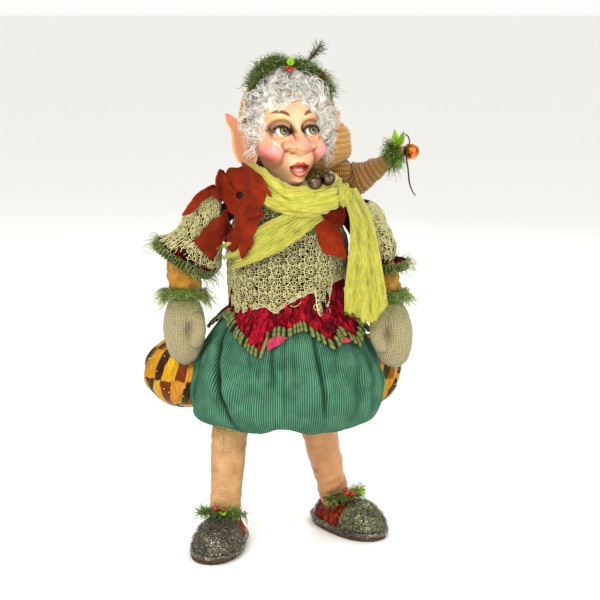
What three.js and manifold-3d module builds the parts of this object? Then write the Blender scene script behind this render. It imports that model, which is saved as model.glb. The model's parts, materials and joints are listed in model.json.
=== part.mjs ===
// An elf doll with a resin head, a stuffed cloth body on a wire armature, and layered clothes.
// Millimetres, +Z up, the doll faces -Y. "right" and "left" are the doll's own sides, so right is at -X.
// The origin is on the floor under the middle of the doll's box.
import * as THREE from "three";
import { mergeVertices } from "three/addons/utils/BufferGeometryUtils.js";
import Module from "manifold-3d";

const wasm = await Module();
wasm.setup();

// Clearances
const seatGap = 0.5; // between pieces that lie on each other
const turnGap = 1.7; // round a ball or a shaft that turns
const legGap = 2.2; // between a leg and the bloomers
const meshTolerance = 0.25; // of the triangles along a cut

// Stuffed torso
const torsoY = 4;
const seatHeight = 209;
const seatHalfWidth = 34;
const seatHalfDepth = 26;
const hipsHeight = 236;
const hipsHalfWidth = 66;
const hipsHalfDepth = 44;
const waistHeight = 288;
const waistHalfWidth = 63;
const waistHalfDepth = 43;
const chestHeight = 368;
const chestHalfWidth = 64;
const chestHalfDepth = 45;
const shoulderHeight = 405;
const shoulderHalfWidth = 54;
const shoulderHalfDepth = 38;
const neckBaseHeight = 440; // the head, the scarf and the hat's tail move with it
const neckBaseRadius = 23;

// Layers of clothing over the torso
const tunicWall = 3;
const laceWall = 2;
const leatherWall = 2.2;
const scarfWall = 4;
const trimHeight = 8;

// Wire armature
const wireRadius = 1.6;
const spineRadius = 2.4;
const wireReach = 20; // of an arm's wire into the shoulders
const armatureFoot = seatHeight + 10;
const hipBarHalf = 30;
const neckSink = 8; // of the neck into the body

// Bloomers, stuffed out to a balloon
const bloomersTop = 292;
const bloomersHalfWidth = 116;
const bloomersHalfDepth = 80;
const bloomersWideHeight = 184;
const bloomersBottom = 151;
const seamRise = 12; // of the bloomers' lower edge at the middle seam
const seamHalfWidth = 22;
const hemHalfWidth = 84;
const hemHalfDepth = 56;
const bloomersTaper = 2.2; // power of the rise from the widest place to the waist
const gatherCount = 14;
const roundCount = 28; // facets round the body: two to a gather, four to a point of the tunic
const gatherDepth = 0.035;

// Legs and shoes
const thighRadius = 22;
const shinRadius = 21;
const ankleRadius = 18.5;
const hipSwing = 15; // degrees either way
const kneeBend = 35; // degrees, heel towards the seat
const hipPoint = { right: [-58, 6, 182], left: [39, 17, 182] };
const kneePoint = { right: [-70, 2, 134], left: [38, 28, 134] };
const anklePoint = { right: [-77, 0, 30], left: [60, 58, 30] };
const toeOut = { right: 12, left: 41 }; // degrees
const shoeLength = 116;
const shoeWidth = 62;
const toeHeight = 38;
const heelHeight = 31;
const soleThickness = 4;

// Arms
const armBallRadius = 11;
const upperArmRadius = 10;
const forearmRadius = 20;
const wristRadius = 18.5;
const armRaise = 25; // degrees, sideways
const elbowGap = 0.75;
const elbowBend = 30; // degrees: the right one bends forward, the left one outwards
const shoulderPoint = { right: [-70, 5, 405], left: [71, 5, 402] };
const elbowPoint = { right: [-120, 1, 350], left: [108, 2, 340] };
const wristPoint = { right: [-121, -10, 303], left: [118, -8, 298] };
const mittenLength = 78;
const mittenHalfWidth = 25;
const mittenHalfThickness = 17;
const mittenLean = { right: 0, left: 8 }; // degrees, finger end outwards
const sleeveInnerX = 72; // inner face of both puffed sleeves
const puff = {
  right: { centre: [-112, 5, 391], half: [42, 38, 51], cutHeight: 358, cutSlope: 30 },
  left: { centre: [97, 5, 373], half: [33, 36, 46], cutHeight: 345, cutSlope: -4 },
};
const cuffHeight = 12;
const cuffThickness = 7;

// Head, in its own frame: it faces -Y, and its middle is the origin
const headPoint = [-2, 3, neckBaseHeight + 63];
const headTurn = 18; // degrees towards the doll's left
const faceHalfWidth = 40;
const faceDepth = 45;
const backDepth = 46;
const chinDrop = 61;
const crownRise = 58;
const eyeRadius = 8.6;
const eyeX = 16;
const eyeY = -37.5;
const eyeZ = -1;
const neckRadius = 16;
const neckPivotHeight = neckBaseHeight + 11;
const nodRoom = 10; // degrees either way that the head's socket leaves free

// Hat, hair and what is on them
const hatHalf = [54, 50, 65];
const hatCentre = [4, 17, 9];
const bagCentre = [48, 22, -22];
const bagHalf = [40, 32, 34];
const hatFrontY = 2;
const hairHalf = [57, 45, 64];
const hairCentre = [1, -4, 4];
const hairBottom = -44;
const hatBottom = -52;
const aside = 220; // size of the blocks that cut the hat and the hair
const tailPivot = [60, 42, neckBaseHeight + 7];
const tailRadii = [18, 20, 13, 8];
const tailSeat = 0.75; // round the tail's ball in the hat
const tipBellRadius = 10;
const tipBellPoint = [146, 35, neckBaseHeight + 32];
const neckBellRadius = 8.4;
const bellWall = 1;
const slotWidth = 2;

const rad = THREE.MathUtils.degToRad;
const sidesOfDoll = ["right", "left"];
const vec = (p) => new THREE.Vector3(...p);

// Points given by their height over the neck's base
const overNeck = (points) => points.map((p) => [...p.slice(0, -1), p.at(-1) + neckBaseHeight]);

// Materials
const look = (color, roughness, metalness = 0) =>
  new THREE.MeshStandardMaterial({ color, roughness, metalness });
const skin = look("#e0ac82", 0.42);
const stockingCloth = look("#d9a873", 0.6);
const velvet = look("#7d0f26", 0.8);
const pinkSatin = look("#c8385c", 0.35);
const oliveRuche = look("#6f7a4a", 0.85);
const laceThread = look("#c3c79c", 0.9);
const leather = look("#93351f", 0.7);
const gauze = look("#cfd05a", 0.95);
const corduroy = look("#3f7d63", 0.9);
const stripedSatin = look("#a86c1e", 0.35, 0.3);
const mustardCloth = look("#c6973a", 0.7);
const moss = look("#6c9440", 0.95);
const knitWool = look("#aaa28a", 0.95);
const hatKnit = look("#cfa468", 0.9);
const tailKnit = look("#a97b47", 0.9);
const mohair = look("#e4e2da", 0.95);
const glitter = look("#6f6672", 0.5, 0.2);
const redVelvet = look("#8e2113", 0.85);
const copper = look("#b8672a", 0.25, 1);
const bronze = look("#5f5348", 0.35, 1);
const eyeGloss = look("#efe9dc", 0.1);
const twig = look("#6a5040", 0.8);
const steel = look("#8c8f93", 0.35, 1);
const muslin = look("#d9cdb8", 0.9);

// Geometry helpers

// A closed surface from positions and triangles, turned to face out
function closedSurface(points, triangles) {
  let volume = 0;
  for (const [a, b, c] of triangles)
    volume += points[a].dot(new THREE.Vector3().crossVectors(points[b], points[c]));
  const index = triangles.flatMap(([a, b, c]) => (volume < 0 ? [a, c, b] : [a, b, c]));
  const geometry = new THREE.BufferGeometry().setFromPoints(points);
  geometry.setIndex(index);
  return geometry;
}

// Rings of points joined side to side: capped at both ends, or closed on themselves
function skinRings(rings, closedLoop = false) {
  const count = rings[0].length;
  const points = rings.flat();
  const triangles = [];
  const spans = closedLoop ? rings.length : rings.length - 1;
  for (let r = 0; r < spans; r++) {
    const here = r * count;
    const next = ((r + 1) % rings.length) * count;
    for (let i = 0; i < count; i++) {
      const j = (i + 1) % count;
      triangles.push([here + i, here + j, next + j], [here + i, next + j, next + i]);
    }
  }
  if (!closedLoop) {
    const last = (rings.length - 1) * count;
    for (const [start, flip] of [[0, true], [last, false]]) {
      const middle = new THREE.Vector3();
      for (let i = 0; i < count; i++) middle.addScaledVector(points[start + i], 1 / count);
      points.push(middle);
      const m = points.length - 1;
      for (let i = 0; i < count; i++) {
        const j = (i + 1) % count;
        triangles.push(flip ? [start + j, start + i, m] : [start + i, start + j, m]);
      }
    }
  }
  return closedSurface(points, triangles);
}

// A ring about a centre, with half-axes given as vectors
function ellipseRing(centre, alongA, alongB, count) {
  return Array.from({ length: count }, (_, i) => {
    const angle = (2 * Math.PI * i) / count;
    return centre.clone()
      .addScaledVector(alongA, Math.cos(angle))
      .addScaledVector(alongB, Math.sin(angle));
  });
}

// A soft limb along a smooth line through the points: radii swell and taper, ends are domed,
// and grow makes it that much thicker and longer at each end
function swell(path, bareRadii, { count = 12, steps = 12, grow = 0, closed = false } = {}) {
  const points = path.map(vec);
  if (!closed) {
    const last = points.length - 1;
    const [headOut, tailOut] = [[0, 1], [last, last - 1]].map(([end, next]) =>
      points[end].clone().sub(points[next]).setLength(grow));
    points[0].add(headOut);
    points[last].add(tailOut);
  }
  const radii = bareRadii.map((r) => r + grow);
  const curve = new THREE.CatmullRomCurve3(points, closed);
  const frames = curve.computeFrenetFrames(steps, closed);
  const length = curve.getLength();
  const radiusAt = (u) => {
    const place = u * (radii.length - (closed ? 0 : 1));
    const low = Math.floor(place);
    const a = radii[low % radii.length];
    const b = radii[closed ? (low + 1) % radii.length : Math.min(low + 1, radii.length - 1)];
    return THREE.MathUtils.lerp(a, b, THREE.MathUtils.smoothstep(place - low, 0, 1));
  };
  const ring = (u, frame, share) => {
    const r = radiusAt(u) * share;
    return ellipseRing(curve.getPointAt(u), frames.normals[frame].clone().multiplyScalar(r),
      frames.binormals[frame].clone().multiplyScalar(r), count);
  };
  const rings = [];
  for (let i = closed ? 1 : 0; i <= steps; i++) {
    const u = i / steps;
    const reach = Math.min(u, 1 - u) * length;
    const dome = radiusAt(u);
    if (closed || reach >= dome) rings.push(ring(u, i, 1));
    else if (i !== 0 && i !== steps) rings.push(ring(u, i, Math.sqrt(1 - (1 - reach / dome) ** 2)));
    else rings.push(ring(u, i, 0.35));
  }
  return skinRings(rings, closed);
}

// A thick sheet from a surface function of two shares, with its wall on the inner side
function sheet(surface, across, along, wall, inward) {
  const outer = [];
  const inner = [];
  for (let j = 0; j <= along; j++)
    for (let i = 0; i <= across; i++) {
      const p = surface(i / across, j / along);
      outer.push(p);
      inner.push(p.clone().addScaledVector(inward, wall));
    }
  const points = [...outer, ...inner];
  const half = outer.length;
  const at = (i, j) => j * (across + 1) + i;
  const triangles = [];
  const quad = (a, b, c, d) => triangles.push([a, b, c], [a, c, d]);
  for (let j = 0; j < along; j++)
    for (let i = 0; i < across; i++) {
      quad(at(i, j), at(i + 1, j), at(i + 1, j + 1), at(i, j + 1));
      quad(half + at(i, j), half + at(i, j + 1), half + at(i + 1, j + 1), half + at(i + 1, j));
    }
  for (let j = 0; j < along; j++) {
    quad(at(0, j), at(0, j + 1), half + at(0, j + 1), half + at(0, j));
    quad(at(across, j), half + at(across, j), half + at(across, j + 1), at(across, j + 1));
  }
  for (let i = 0; i < across; i++) {
    quad(at(i, 0), half + at(i, 0), half + at(i + 1, 0), at(i + 1, 0));
    quad(at(i, along), at(i + 1, along), half + at(i + 1, along), half + at(i, along));
  }
  return closedSurface(points, triangles);
}

function solidOf(geometry) {
  const bare = geometry.clone();
  bare.deleteAttribute("normal");
  bare.deleteAttribute("uv");
  const merged = mergeVertices(bare, 1e-3);
  return new wasm.Manifold(new wasm.Mesh({
    numProp: 3,
    vertProperties: Float32Array.from(merged.attributes.position.array),
    triVerts: Uint32Array.from(merged.index.array),
  }));
}

// The largest body of a solid, as a geometry
function geometryOf(solid) {
  const [largest] = solid.decompose().sort((a, b) => b.volume() - a.volume());
  const mesh = largest.simplify(meshTolerance).getMesh();
  const geometry = new THREE.BufferGeometry();
  geometry.setAttribute("position", new THREE.BufferAttribute(mesh.vertProperties, 3));
  geometry.setIndex(new THREE.BufferAttribute(mesh.triVerts, 1));
  return geometry;
}

const cut = (geometry, ...tools) =>
  geometryOf(tools.reduce((solid, tool) => solid.subtract(solidOf(tool)), solidOf(geometry)));
const joinAll = (...pieces) =>
  geometryOf(pieces.map(solidOf).reduce((whole, next) => whole.add(next)));

const ball = (radius, at = [0, 0, 0], across = 16, rows = 12) =>
  new THREE.SphereGeometry(radius, across, rows).rotateX(Math.PI / 2).translate(...at);
const ellipsoid = (half, at, across = 24, rows = 16) =>
  new THREE.SphereGeometry(1, across, rows).rotateX(Math.PI / 2).scale(...half).translate(...at);
const block = (size, at) => new THREE.BoxGeometry(...size).translate(...at);

// Puts a solid that stands on the origin along Y so that it reaches from one point to another
function placeBetween(geometry, from, to) {
  const turn = new THREE.Quaternion().setFromUnitVectors(
    new THREE.Vector3(0, 1, 0), vec(to).sub(vec(from)).normalize());
  return geometry.applyQuaternion(turn).translate(...from);
}

// A straight rod between two points
function rod(from, to, radius, count = 12, endRadius = radius) {
  const length = vec(from).distanceTo(vec(to));
  return placeBetween(
    new THREE.CylinderGeometry(endRadius, radius, length, count).translate(0, length / 2, 0), from, to);
}

// A stuffed limb: a half ball about its first point that tapers to a flat end at its last point
function limb(from, to, radius, endRadius, count = 16, rows = 4) {
  const length = vec(from).distanceTo(vec(to));
  const dome = Array.from({ length: rows + 1 }, (_, i) => {
    const angle = (Math.PI / 2) * (i / rows);
    return new THREE.Vector2(radius * Math.sin(angle), -radius * Math.cos(angle));
  });
  const profile = [...dome, new THREE.Vector2(endRadius, length), new THREE.Vector2(0, length)];
  return placeBetween(new THREE.LatheGeometry(profile, count), from, to);
}

function mesh(name, geometry, material, at = [0, 0, 0]) {
  const made = new THREE.Mesh(geometry, material);
  made.name = name;
  made.position.set(...at);
  return made;
}

// The same geometry turned about a line through a point, for the room that a moving piece needs
const turned = (geometry, axis, degrees, about) =>
  geometry.clone()
    .translate(-about[0], -about[1], -about[2])
    .applyMatrix4(new THREE.Matrix4().makeRotationAxis(vec(axis), rad(degrees)))
    .translate(...about);

// The room that a limb sweeps as it turns about its ball: the ball, and a rod for each angle
const sweptRoom = (from, to, radius, axis, degrees) => [ball(radius, from, 10, 7),
  ...degrees.map((each) => turned(rod(from, to, radius, 10), axis, each, from))];

// A value that eases from station to station: [place, value] pairs in rising place
function eased(stations, place) {
  if (place <= stations[0][0]) return stations[0][1];
  for (let i = 1; i < stations.length; i++) {
    const [low, a] = stations[i - 1];
    const [high, b] = stations[i];
    if (place <= high)
      return THREE.MathUtils.lerp(a, b, THREE.MathUtils.smoothstep(place, low, high));
  }
  return stations[stations.length - 1][1];
}

// Torso and the layers on it

const torsoWidths = [[seatHeight, seatHalfWidth], [hipsHeight, hipsHalfWidth],
  [waistHeight, waistHalfWidth], [chestHeight, chestHalfWidth],
  [shoulderHeight, shoulderHalfWidth], [neckBaseHeight, neckBaseRadius]];
const torsoDepths = [[seatHeight, seatHalfDepth], [hipsHeight, hipsHalfDepth],
  [waistHeight, waistHalfDepth], [chestHeight, chestHalfDepth],
  [shoulderHeight, shoulderHalfDepth], [neckBaseHeight, neckBaseRadius]];

// Bloomers: a balloon that is round below its widest place and tapers to the waist above it
function balloon(height, wide, hem, waist) {
  const below = THREE.MathUtils.clamp(
    (bloomersWideHeight - height) / (bloomersWideHeight - bloomersBottom), 0, 1);
  const above = THREE.MathUtils.clamp(
    (height - bloomersWideHeight) / (bloomersTop - bloomersWideHeight), 0, 1);
  if (below > 0) return hem + (wide - hem) * Math.sqrt(1 - below * below);
  return waist + (wide - waist) * (1 - above ** bloomersTaper);
}

const torsoPoint = (angle, height, out = 0) => new THREE.Vector3(
  (eased(torsoWidths, height) + out) * Math.cos(angle),
  torsoY + (eased(torsoDepths, height) + out) * Math.sin(angle), height);

// Gathers run down from the waist and fade out at both ends
function bloomersPoint(angle, height, out = 0) {
  const along = THREE.MathUtils.clamp((bloomersTop - height) / (bloomersTop - bloomersBottom), 0, 1);
  const fold = 1 + gatherDepth * Math.sin(Math.PI * along) * Math.cos(gatherCount * angle);
  return new THREE.Vector3(
    (balloon(height, bloomersHalfWidth, hemHalfWidth, waistHalfWidth + 1) * fold + out) * Math.cos(angle),
    torsoY + (balloon(height, bloomersHalfDepth, hemHalfDepth, waistHalfDepth + 1) * fold + out) *
      Math.sin(angle), height);
}

const dressedPoint = (angle, height, out) =>
  height > bloomersTop ? torsoPoint(angle, height, out) : bloomersPoint(angle, height, out);

const angles = (count) => Array.from({ length: count }, (_, i) => (2 * Math.PI * i) / count);

// Solids bounded by a surface function: heights run up from a lower edge that may rise and fall
function stack(pointAt, lower, upper, out, rows, count) {
  return skinRings(Array.from({ length: rows + 1 }, (_, r) =>
    angles(count).map((a) => pointAt(a, THREE.MathUtils.lerp(lower(a), upper, r / rows), out))));
}
const torsoForm = (out) =>
  stack(torsoPoint, () => seatHeight - out, neckBaseHeight + out, out, 9, roundCount / 2);
const bloomersEdge = (angle) => bloomersBottom +
  seamRise * Math.exp(-((hemHalfWidth * Math.cos(angle) / seamHalfWidth) ** 2));
const bloomersForm = (out) =>
  stack(bloomersPoint, (a) => bloomersEdge(a) - out, bloomersTop + out, out, 8, roundCount);

function armatureSolid() {
  const [barFrom, barTo] = sidesOfDoll.map((side) => {
    const [x, y, z] = shoulderPoint[side];
    return [x - Math.sign(x) * (wireReach + seatGap), y, z];
  });
  return joinAll(
    rod([0, torsoY, armatureFoot], [0, torsoY, neckBaseHeight - neckSink], spineRadius, 8),
    rod(barFrom, barTo, wireRadius, 8),
    rod([-hipBarHalf, torsoY, armatureFoot + 4], [hipBarHalf, torsoY, armatureFoot + 4], wireRadius, 8));
}

const tunicTop = neckBaseHeight - 7;
const tunicHemHigh = 286;
const tunicHemPoint = 24;
const tunicPoints = 7;
const tunicPhase = -109; // degrees, of one of the points
const tunicGap = seatGap;
const saw = (x) => Math.abs(2 * (x - Math.floor(x + 0.5)));
const tunicHem = (angle) =>
  tunicHemHigh - tunicHemPoint * (1 - saw((tunicPoints * (angle - rad(tunicPhase))) / (2 * Math.PI)));
const tunicForm = (out, drop = 0) =>
  stack(dressedPoint, (a) => tunicHem(a) - drop, tunicTop + out, tunicGap + tunicWall + out, 6, roundCount);
const laceGap = tunicGap + tunicWall + seatGap;
const laceOut = laceGap + laceWall;

const laceTop = tunicTop - 2;
const laceHemHigh = 312;
const lacePoint = 24;
const lacePoints = 5;
const laceHem = (angle) =>
  laceHemHigh - lacePoint * (1 - saw((lacePoints * (angle + rad(100))) / (2 * Math.PI)));
const laceForm = (out) => stack(dressedPoint, laceHem, laceTop + out, laceOut + out, 5, roundCount);

// How far the front of the clothes stands out at a place seen from the front: the nearer of the
// torso and the two puffed sleeves, eased into each other
function frontOf(x, z) {
  const bulge = (cx, cy, hx, hy, lift) => {
    const share = 1 - ((x - cx) / hx) ** 2;
    return cy - hy * Math.sqrt(Math.max(share, 0)) - (share > 0 ? lift : 0);
  };
  const torso = bulge(0, torsoY, eased(torsoWidths, z) + laceOut, eased(torsoDepths, z) + laceOut, 0);
  const sleeves = sidesOfDoll.map((side) => {
    const { centre, half } = puff[side];
    const level = Math.max(1 - ((z - centre[2]) / half[2]) ** 2, 0);
    return bulge(centre[0], centre[1], half[0] * Math.sqrt(level) + 1, half[1] * Math.sqrt(level), 2);
  });
  const softness = 9;
  const total = [torso, ...sleeves].reduce((sum, y) => sum + Math.exp(-y / softness), 0);
  return -softness * Math.log(total);
}

// A leaf or strip of cloth that lies on the front of the clothes: its middle line is [x, z] points
// with a half width at each, and lift is its distance from what it lies on
function frontStrip(line, halfWidths, lift, wall, { across = 4, along = 8, ripple = 0, folds = 2,
  frontAt = frontOf } = {}) {
  const curve = new THREE.CatmullRomCurve3(line.map(([x, z]) => new THREE.Vector3(x, 0, z)));
  const widthAt = (v) => {
    const place = v * (halfWidths.length - 1);
    const low = Math.min(Math.floor(place), halfWidths.length - 2);
    return THREE.MathUtils.lerp(halfWidths[low], halfWidths[low + 1], place - low);
  };
  return sheet((u, v) => {
    const middle = curve.getPoint(v);
    const tangent = curve.getTangent(v);
    const side = (2 * u - 1) * widthAt(v);
    const x = middle.x + tangent.z * side;
    const z = middle.z - tangent.x * side;
    return new THREE.Vector3(x,
      frontAt(x, z) - lift - wall + ripple * Math.cos(2 * Math.PI * folds * u), z);
  }, across, along, wall, new THREE.Vector3(0, 1, 0));
}

// Pieces of each sub-assembly

const doll = new THREE.Group();

// Places of the arm's ball, which the torso's layers leave room for
const shoulderSocket = (side) => ball(armBallRadius + turnGap, shoulderPoint[side], 10, 7);

const legs = Object.fromEntries(sidesOfDoll.map((side) => {
  const hip = hipPoint[side];
  const knee = kneePoint[side];
  const ankle = anklePoint[side];
  return [side, { hip, knee, ankle, thigh: limb(hip, knee, thighRadius, shinRadius),
    shin: limb(knee, ankle, shinRadius, ankleRadius) }];
}));

// The room that a leg sweeps through at the bottom of the bloomers
function legRoom(side) {
  const { hip, knee } = legs[side];
  const beyond = vec(knee).add(vec(knee).sub(vec(hip)).multiplyScalar(0.3)).toArray();
  return sweptRoom(hip, beyond, thighRadius + legGap, [1, 0, 0], [-hipSwing, hipSwing]);
}

function buildTorso() {
  const spineRoom = rod([0, torsoY, armatureFoot - seatGap], [0, torsoY, neckBaseHeight + 1],
    spineRadius + seatGap, 8);
  const shoulderBarRoom = rod(shoulderPoint.right, shoulderPoint.left, wireRadius + seatGap + 0.2, 10);
  const hipBarRoom = rod([-hipBarHalf - seatGap, torsoY, armatureFoot + 4],
    [hipBarHalf + seatGap, torsoY, armatureFoot + 4], wireRadius + seatGap, 8);
  const neckHole = rod([0, torsoY, neckBaseHeight - neckSink], [0, torsoY, neckBaseHeight + 5],
    neckRadius + seatGap, 18);
  const sockets = sidesOfDoll.map(shoulderSocket);
  const body = cut(torsoForm(0), spineRoom, shoulderBarRoom, hipBarRoom, neckHole, ...sockets);
  const bloomers = cut(bloomersForm(0), torsoForm(seatGap), ...sidesOfDoll.flatMap(legRoom));
  const tunic = cut(tunicForm(0), torsoForm(seatGap), bloomersForm(seatGap), shoulderBarRoom, ...sockets);
  const lace = cut(laceForm(0), tunicForm(seatGap), shoulderBarRoom, ...sockets);
  const trimRing = (share, out) => angles(roundCount).map((a) =>
    dressedPoint(a, tunicHem(a) - 2 * seatGap - trimHeight * share, out));
  const trim = skinRings([
    trimRing(0, tunicGap + tunicWall + 1.5), trimRing(1, tunicGap + tunicWall + 2.5),
    trimRing(1, 2 * seatGap), trimRing(0, 2 * seatGap)], true);
  return [
    mesh("torso_body", body, muslin),
    mesh("armature_wire", armatureSolid(), steel),
    mesh("velvet_tunic", tunic, velvet),
    mesh("tunic_hem_trim", trim, oliveRuche),
    mesh("lace_shawl", lace, laceThread),
    mesh("bloomers", bloomers, corduroy),
  ];
}

const torso = new THREE.Group();
torso.add(...buildTorso());
doll.add(torso);

// Side drapes of striped satin, gathered over the hips and cut by the bloomers
const drapeHalf = { right: [50, 36, 45], left: [37, 34, 44] };
const drapeCentre = { right: [-124, 33, 205], left: [100, 42, 204] };
const drapeFolds = 8;

function sideDrape(side) {
  const [hx, hy, hz] = drapeHalf[side];
  const [cx, cy, cz] = drapeCentre[side];
  const rows = 6;
  const rings = Array.from({ length: rows + 1 }, (_, r) => {
    const lift = -0.97 * Math.cos((Math.PI * r) / rows);
    const reach = Math.sqrt(1 - lift * lift);
    return angles(2 * drapeFolds).map((a) => {
      const fold = 1 + 0.05 * Math.cos(drapeFolds * a);
      return new THREE.Vector3(cx + hx * reach * fold * Math.cos(a),
        cy + hy * reach * fold * Math.sin(a), cz + hz * lift);
    });
  });
  return cut(skinRings(rings), bloomersForm(seatGap));
}
torso.add(...sidesOfDoll.map((side) => mesh("side_drape_" + side, sideDrape(side), stripedSatin)));

// Satin petals that hang beside the tunic's points
const petalAngles = { satin_petal_right: -95, satin_petal_left: -41 };
const petalWidth = 15; // degrees round the body
const petalDrop = 17;
const petalWall = 1.4;
for (const [name, place] of Object.entries(petalAngles)) {
  const top = tunicHem(rad(place)) - trimHeight - 3 * seatGap;
  const petal = sheet((u, v) => {
    const half = rad(petalWidth / 2) * (1 - 0.92 * v);
    const angle = rad(place) + (2 * u - 1) * half;
    return bloomersPoint(angle, Math.min(top, tunicHem(angle) - trimHeight - 3 * seatGap) - petalDrop * v,
      seatGap + petalWall);
  }, 4, 4, petalWall + 2, new THREE.Vector3(-Math.cos(rad(place)), -Math.sin(rad(place)), 0));
  torso.add(mesh(name, cut(petal, bloomersForm(seatGap)), pinkSatin));
}

const scarfPath = overNeck([[-38, -8, -2], [-18, -38, -10], [16, -48, -18], [48, -38, -13], [50, 2, -7],
  [33, 33, -7], [0, 41, -8], [-31, 30, -5]]);
const scarfRadii = [11, 13, 14, 14, 11, 9, 9, 10];
const scarfLoopForm = (grow) => swell(scarfPath, scarfRadii, { count: 8, steps: 16, grow, closed: true });
const chestRoom = [laceForm(seatGap), tunicForm(seatGap), torsoForm(seatGap)];

// Leather leaves on the shoulders and chest: middle line as [x, z], half widths along it, and lift
const leatherLeaves = {
  leather_shoulder_leaf: [[[-40, 446], [-52, 432], [-60, 412], [-63, 388]], [15, 30, 27, 5], 11.6],
  leather_hanging_leaf: [[[-52, 400], [-57, 380], [-63, 357]], [16, 17, 9], 2.5],
  leather_side_leaf: [[[-93, 395], [-97, 378], [-100, 360]], [9, 17, 11], 0],
  leather_chest_panel: [[[43, 410], [46, 385], [50, 355]], [11, 17, 14], 2],
};
const leafHole = [-62, 412];
const leafHoleRadius = 4;
for (const [name, [line, widths, lift]] of Object.entries(leatherLeaves)) {
  const leaf = frontStrip(line, widths, lift, leatherWall, { across: 4, along: 6, ripple: 0.6 });
  const hole = rod([leafHole[0], -90, leafHole[1]], [leafHole[0], 0, leafHole[1]], leafHoleRadius, 10);
  torso.add(mesh(name, cut(leaf, scarfLoopForm(seatGap), hole), leather));
}

// Gauze scarf: a loop round the neck, its knot and two tails
const knotPoint = [66, -42, neckBaseHeight - 10];
const knotRadius = 12;
const scarfLoop = cut(scarfLoopForm(0), ...chestRoom);
const knotForm = (grow) => ellipsoid([knotRadius + grow, knotRadius - 1 + grow, knotRadius + 3 + grow],
  knotPoint, 12, 8);
const scarfKnot = cut(knotForm(0), scarfLoopForm(seatGap));
const shortTail = frontStrip(overNeck([[36, -36], [10, -45], [-22, -58], [-52, -73], [-70, -86]]),
  [8, 13, 16, 15, 9], 15, scarfWall, { across: 6, along: 9, ripple: 1.2 });
const longTailFront = -47; // Y of the tail's middle, ahead of the left forearm's path
const longTail = frontStrip(overNeck([[74, -8], [80, -40], [86, -90], [92, -135], [92, -159]]),
  [11, 18, 20, 26, 21], 0, scarfWall, { across: 8, along: 6, ripple: 2.5, folds: 2,
    frontAt: () => longTailFront });
torso.add(
  mesh("scarf_loop", scarfLoop, gauze),
  mesh("scarf_knot", scarfKnot, gauze),
  mesh("scarf_short_tail", cut(shortTail, scarfLoopForm(seatGap)), gauze),
  mesh("scarf_long_tail", cut(longTail, scarfLoopForm(seatGap), knotForm(seatGap)), gauze));

// A jingle bell: a thin sphere with a slot across its lower half and a lug with a hole on top
const lugRadius = 2.9;
const lugWire = 0.7;
const lugRise = 1.6; // of the lug's middle above the bell
function jingleBell(radius) {
  const lug = new THREE.TorusGeometry(lugRadius - lugWire, lugWire, 4, 8).rotateX(Math.PI / 2);
  const shell = joinAll(ball(radius, [0, 0, 0], 10, 6), lug.translate(0, 0, radius + lugRise));
  return cut(shell, ball(radius - bellWall, [0, 0, 0], 8, 6),
    block([2 * radius + 2, slotWidth, radius], [0, 0, -radius / 2 - 0.5]));
}
const neckBells = { neck_bell_right: [31.6, -49, 5.4], neck_bell_left: [46.5, -42, 9] };
for (const [name, at] of Object.entries(neckBells)) {
  const made = mesh(name, jingleBell(neckBellRadius), bronze, overNeck([at])[0]);
  made.rotation.set(rad(35), rad(20), 0);
  torso.add(made);
}

// Head

const faceAcross = 24; // facets
const faceRows = 18;
const jawNarrowing = 0.3;
const faceCrowding = 1.35;
const faceBumps = [
  // what, place, spread, height
  { at: [0, -62, -15], spread: 8.5, out: 20 }, // nose tip
  { at: [0, -50, -3], spread: 6, out: 6 }, // nose bridge
  { at: [-9, -52, -17], spread: 4.5, out: 4 }, // nose wings
  { at: [9, -52, -17], spread: 4.5, out: 4 },
  { at: [-26, -38, -22], spread: 11, out: 7 }, // cheeks
  { at: [26, -38, -22], spread: 11, out: 7 },
  { at: [0, -40, -54], spread: 10, out: 6 }, // chin
  { at: [0, -46, -39], spread: 8, out: 4 }, // lips
  { at: [-16, -42, -1], spread: 7, out: -5 }, // eye sockets
  { at: [16, -42, -1], spread: 7, out: -5 },
  { at: [-16, -40, 16], spread: 8, out: 3 }, // brows
  { at: [16, -40, 16], spread: 8, out: 3 },
];

// A point of the head in a direction: an ellipsoid, narrower at the jaw, with soft bumps
function headPointAt(direction, out = 0) {
  const depth = direction.y < 0 ? faceDepth : backDepth;
  const rise = direction.z < 0 ? chinDrop : crownRise;
  const radius = 1 / Math.sqrt((direction.x / faceHalfWidth) ** 2 + (direction.y / depth) ** 2 +
    (direction.z / rise) ** 2);
  const p = direction.clone().multiplyScalar(radius);
  p.x *= 1 - jawNarrowing * THREE.MathUtils.smoothstep(-p.z, 15, chinDrop);
  let push = out;
  for (const { at, spread, out: height } of faceBumps)
    push += height * Math.exp(-p.distanceToSquared(vec(at)) / (2 * spread * spread));
  return p.addScaledVector(direction, push);
}

// Angles round the head, closer together at the face
const faceAngles = (count) => Array.from({ length: count }, (_, i) => {
  const share = (2 * i) / count - 1;
  return -Math.PI / 2 + Math.PI * Math.sign(share) * Math.abs(share) ** faceCrowding;
});

function headSolid(across, rows, out = 0) {
  const rings = Array.from({ length: rows - 1 }, (_, r) => {
    const polar = (Math.PI * (r + 1)) / rows;
    return faceAngles(across).map((a) => headPointAt(new THREE.Vector3(
      Math.sin(polar) * Math.cos(a), Math.sin(polar) * Math.sin(a), Math.cos(polar)), out));
  });
  return skinRings(rings);
}

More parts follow.
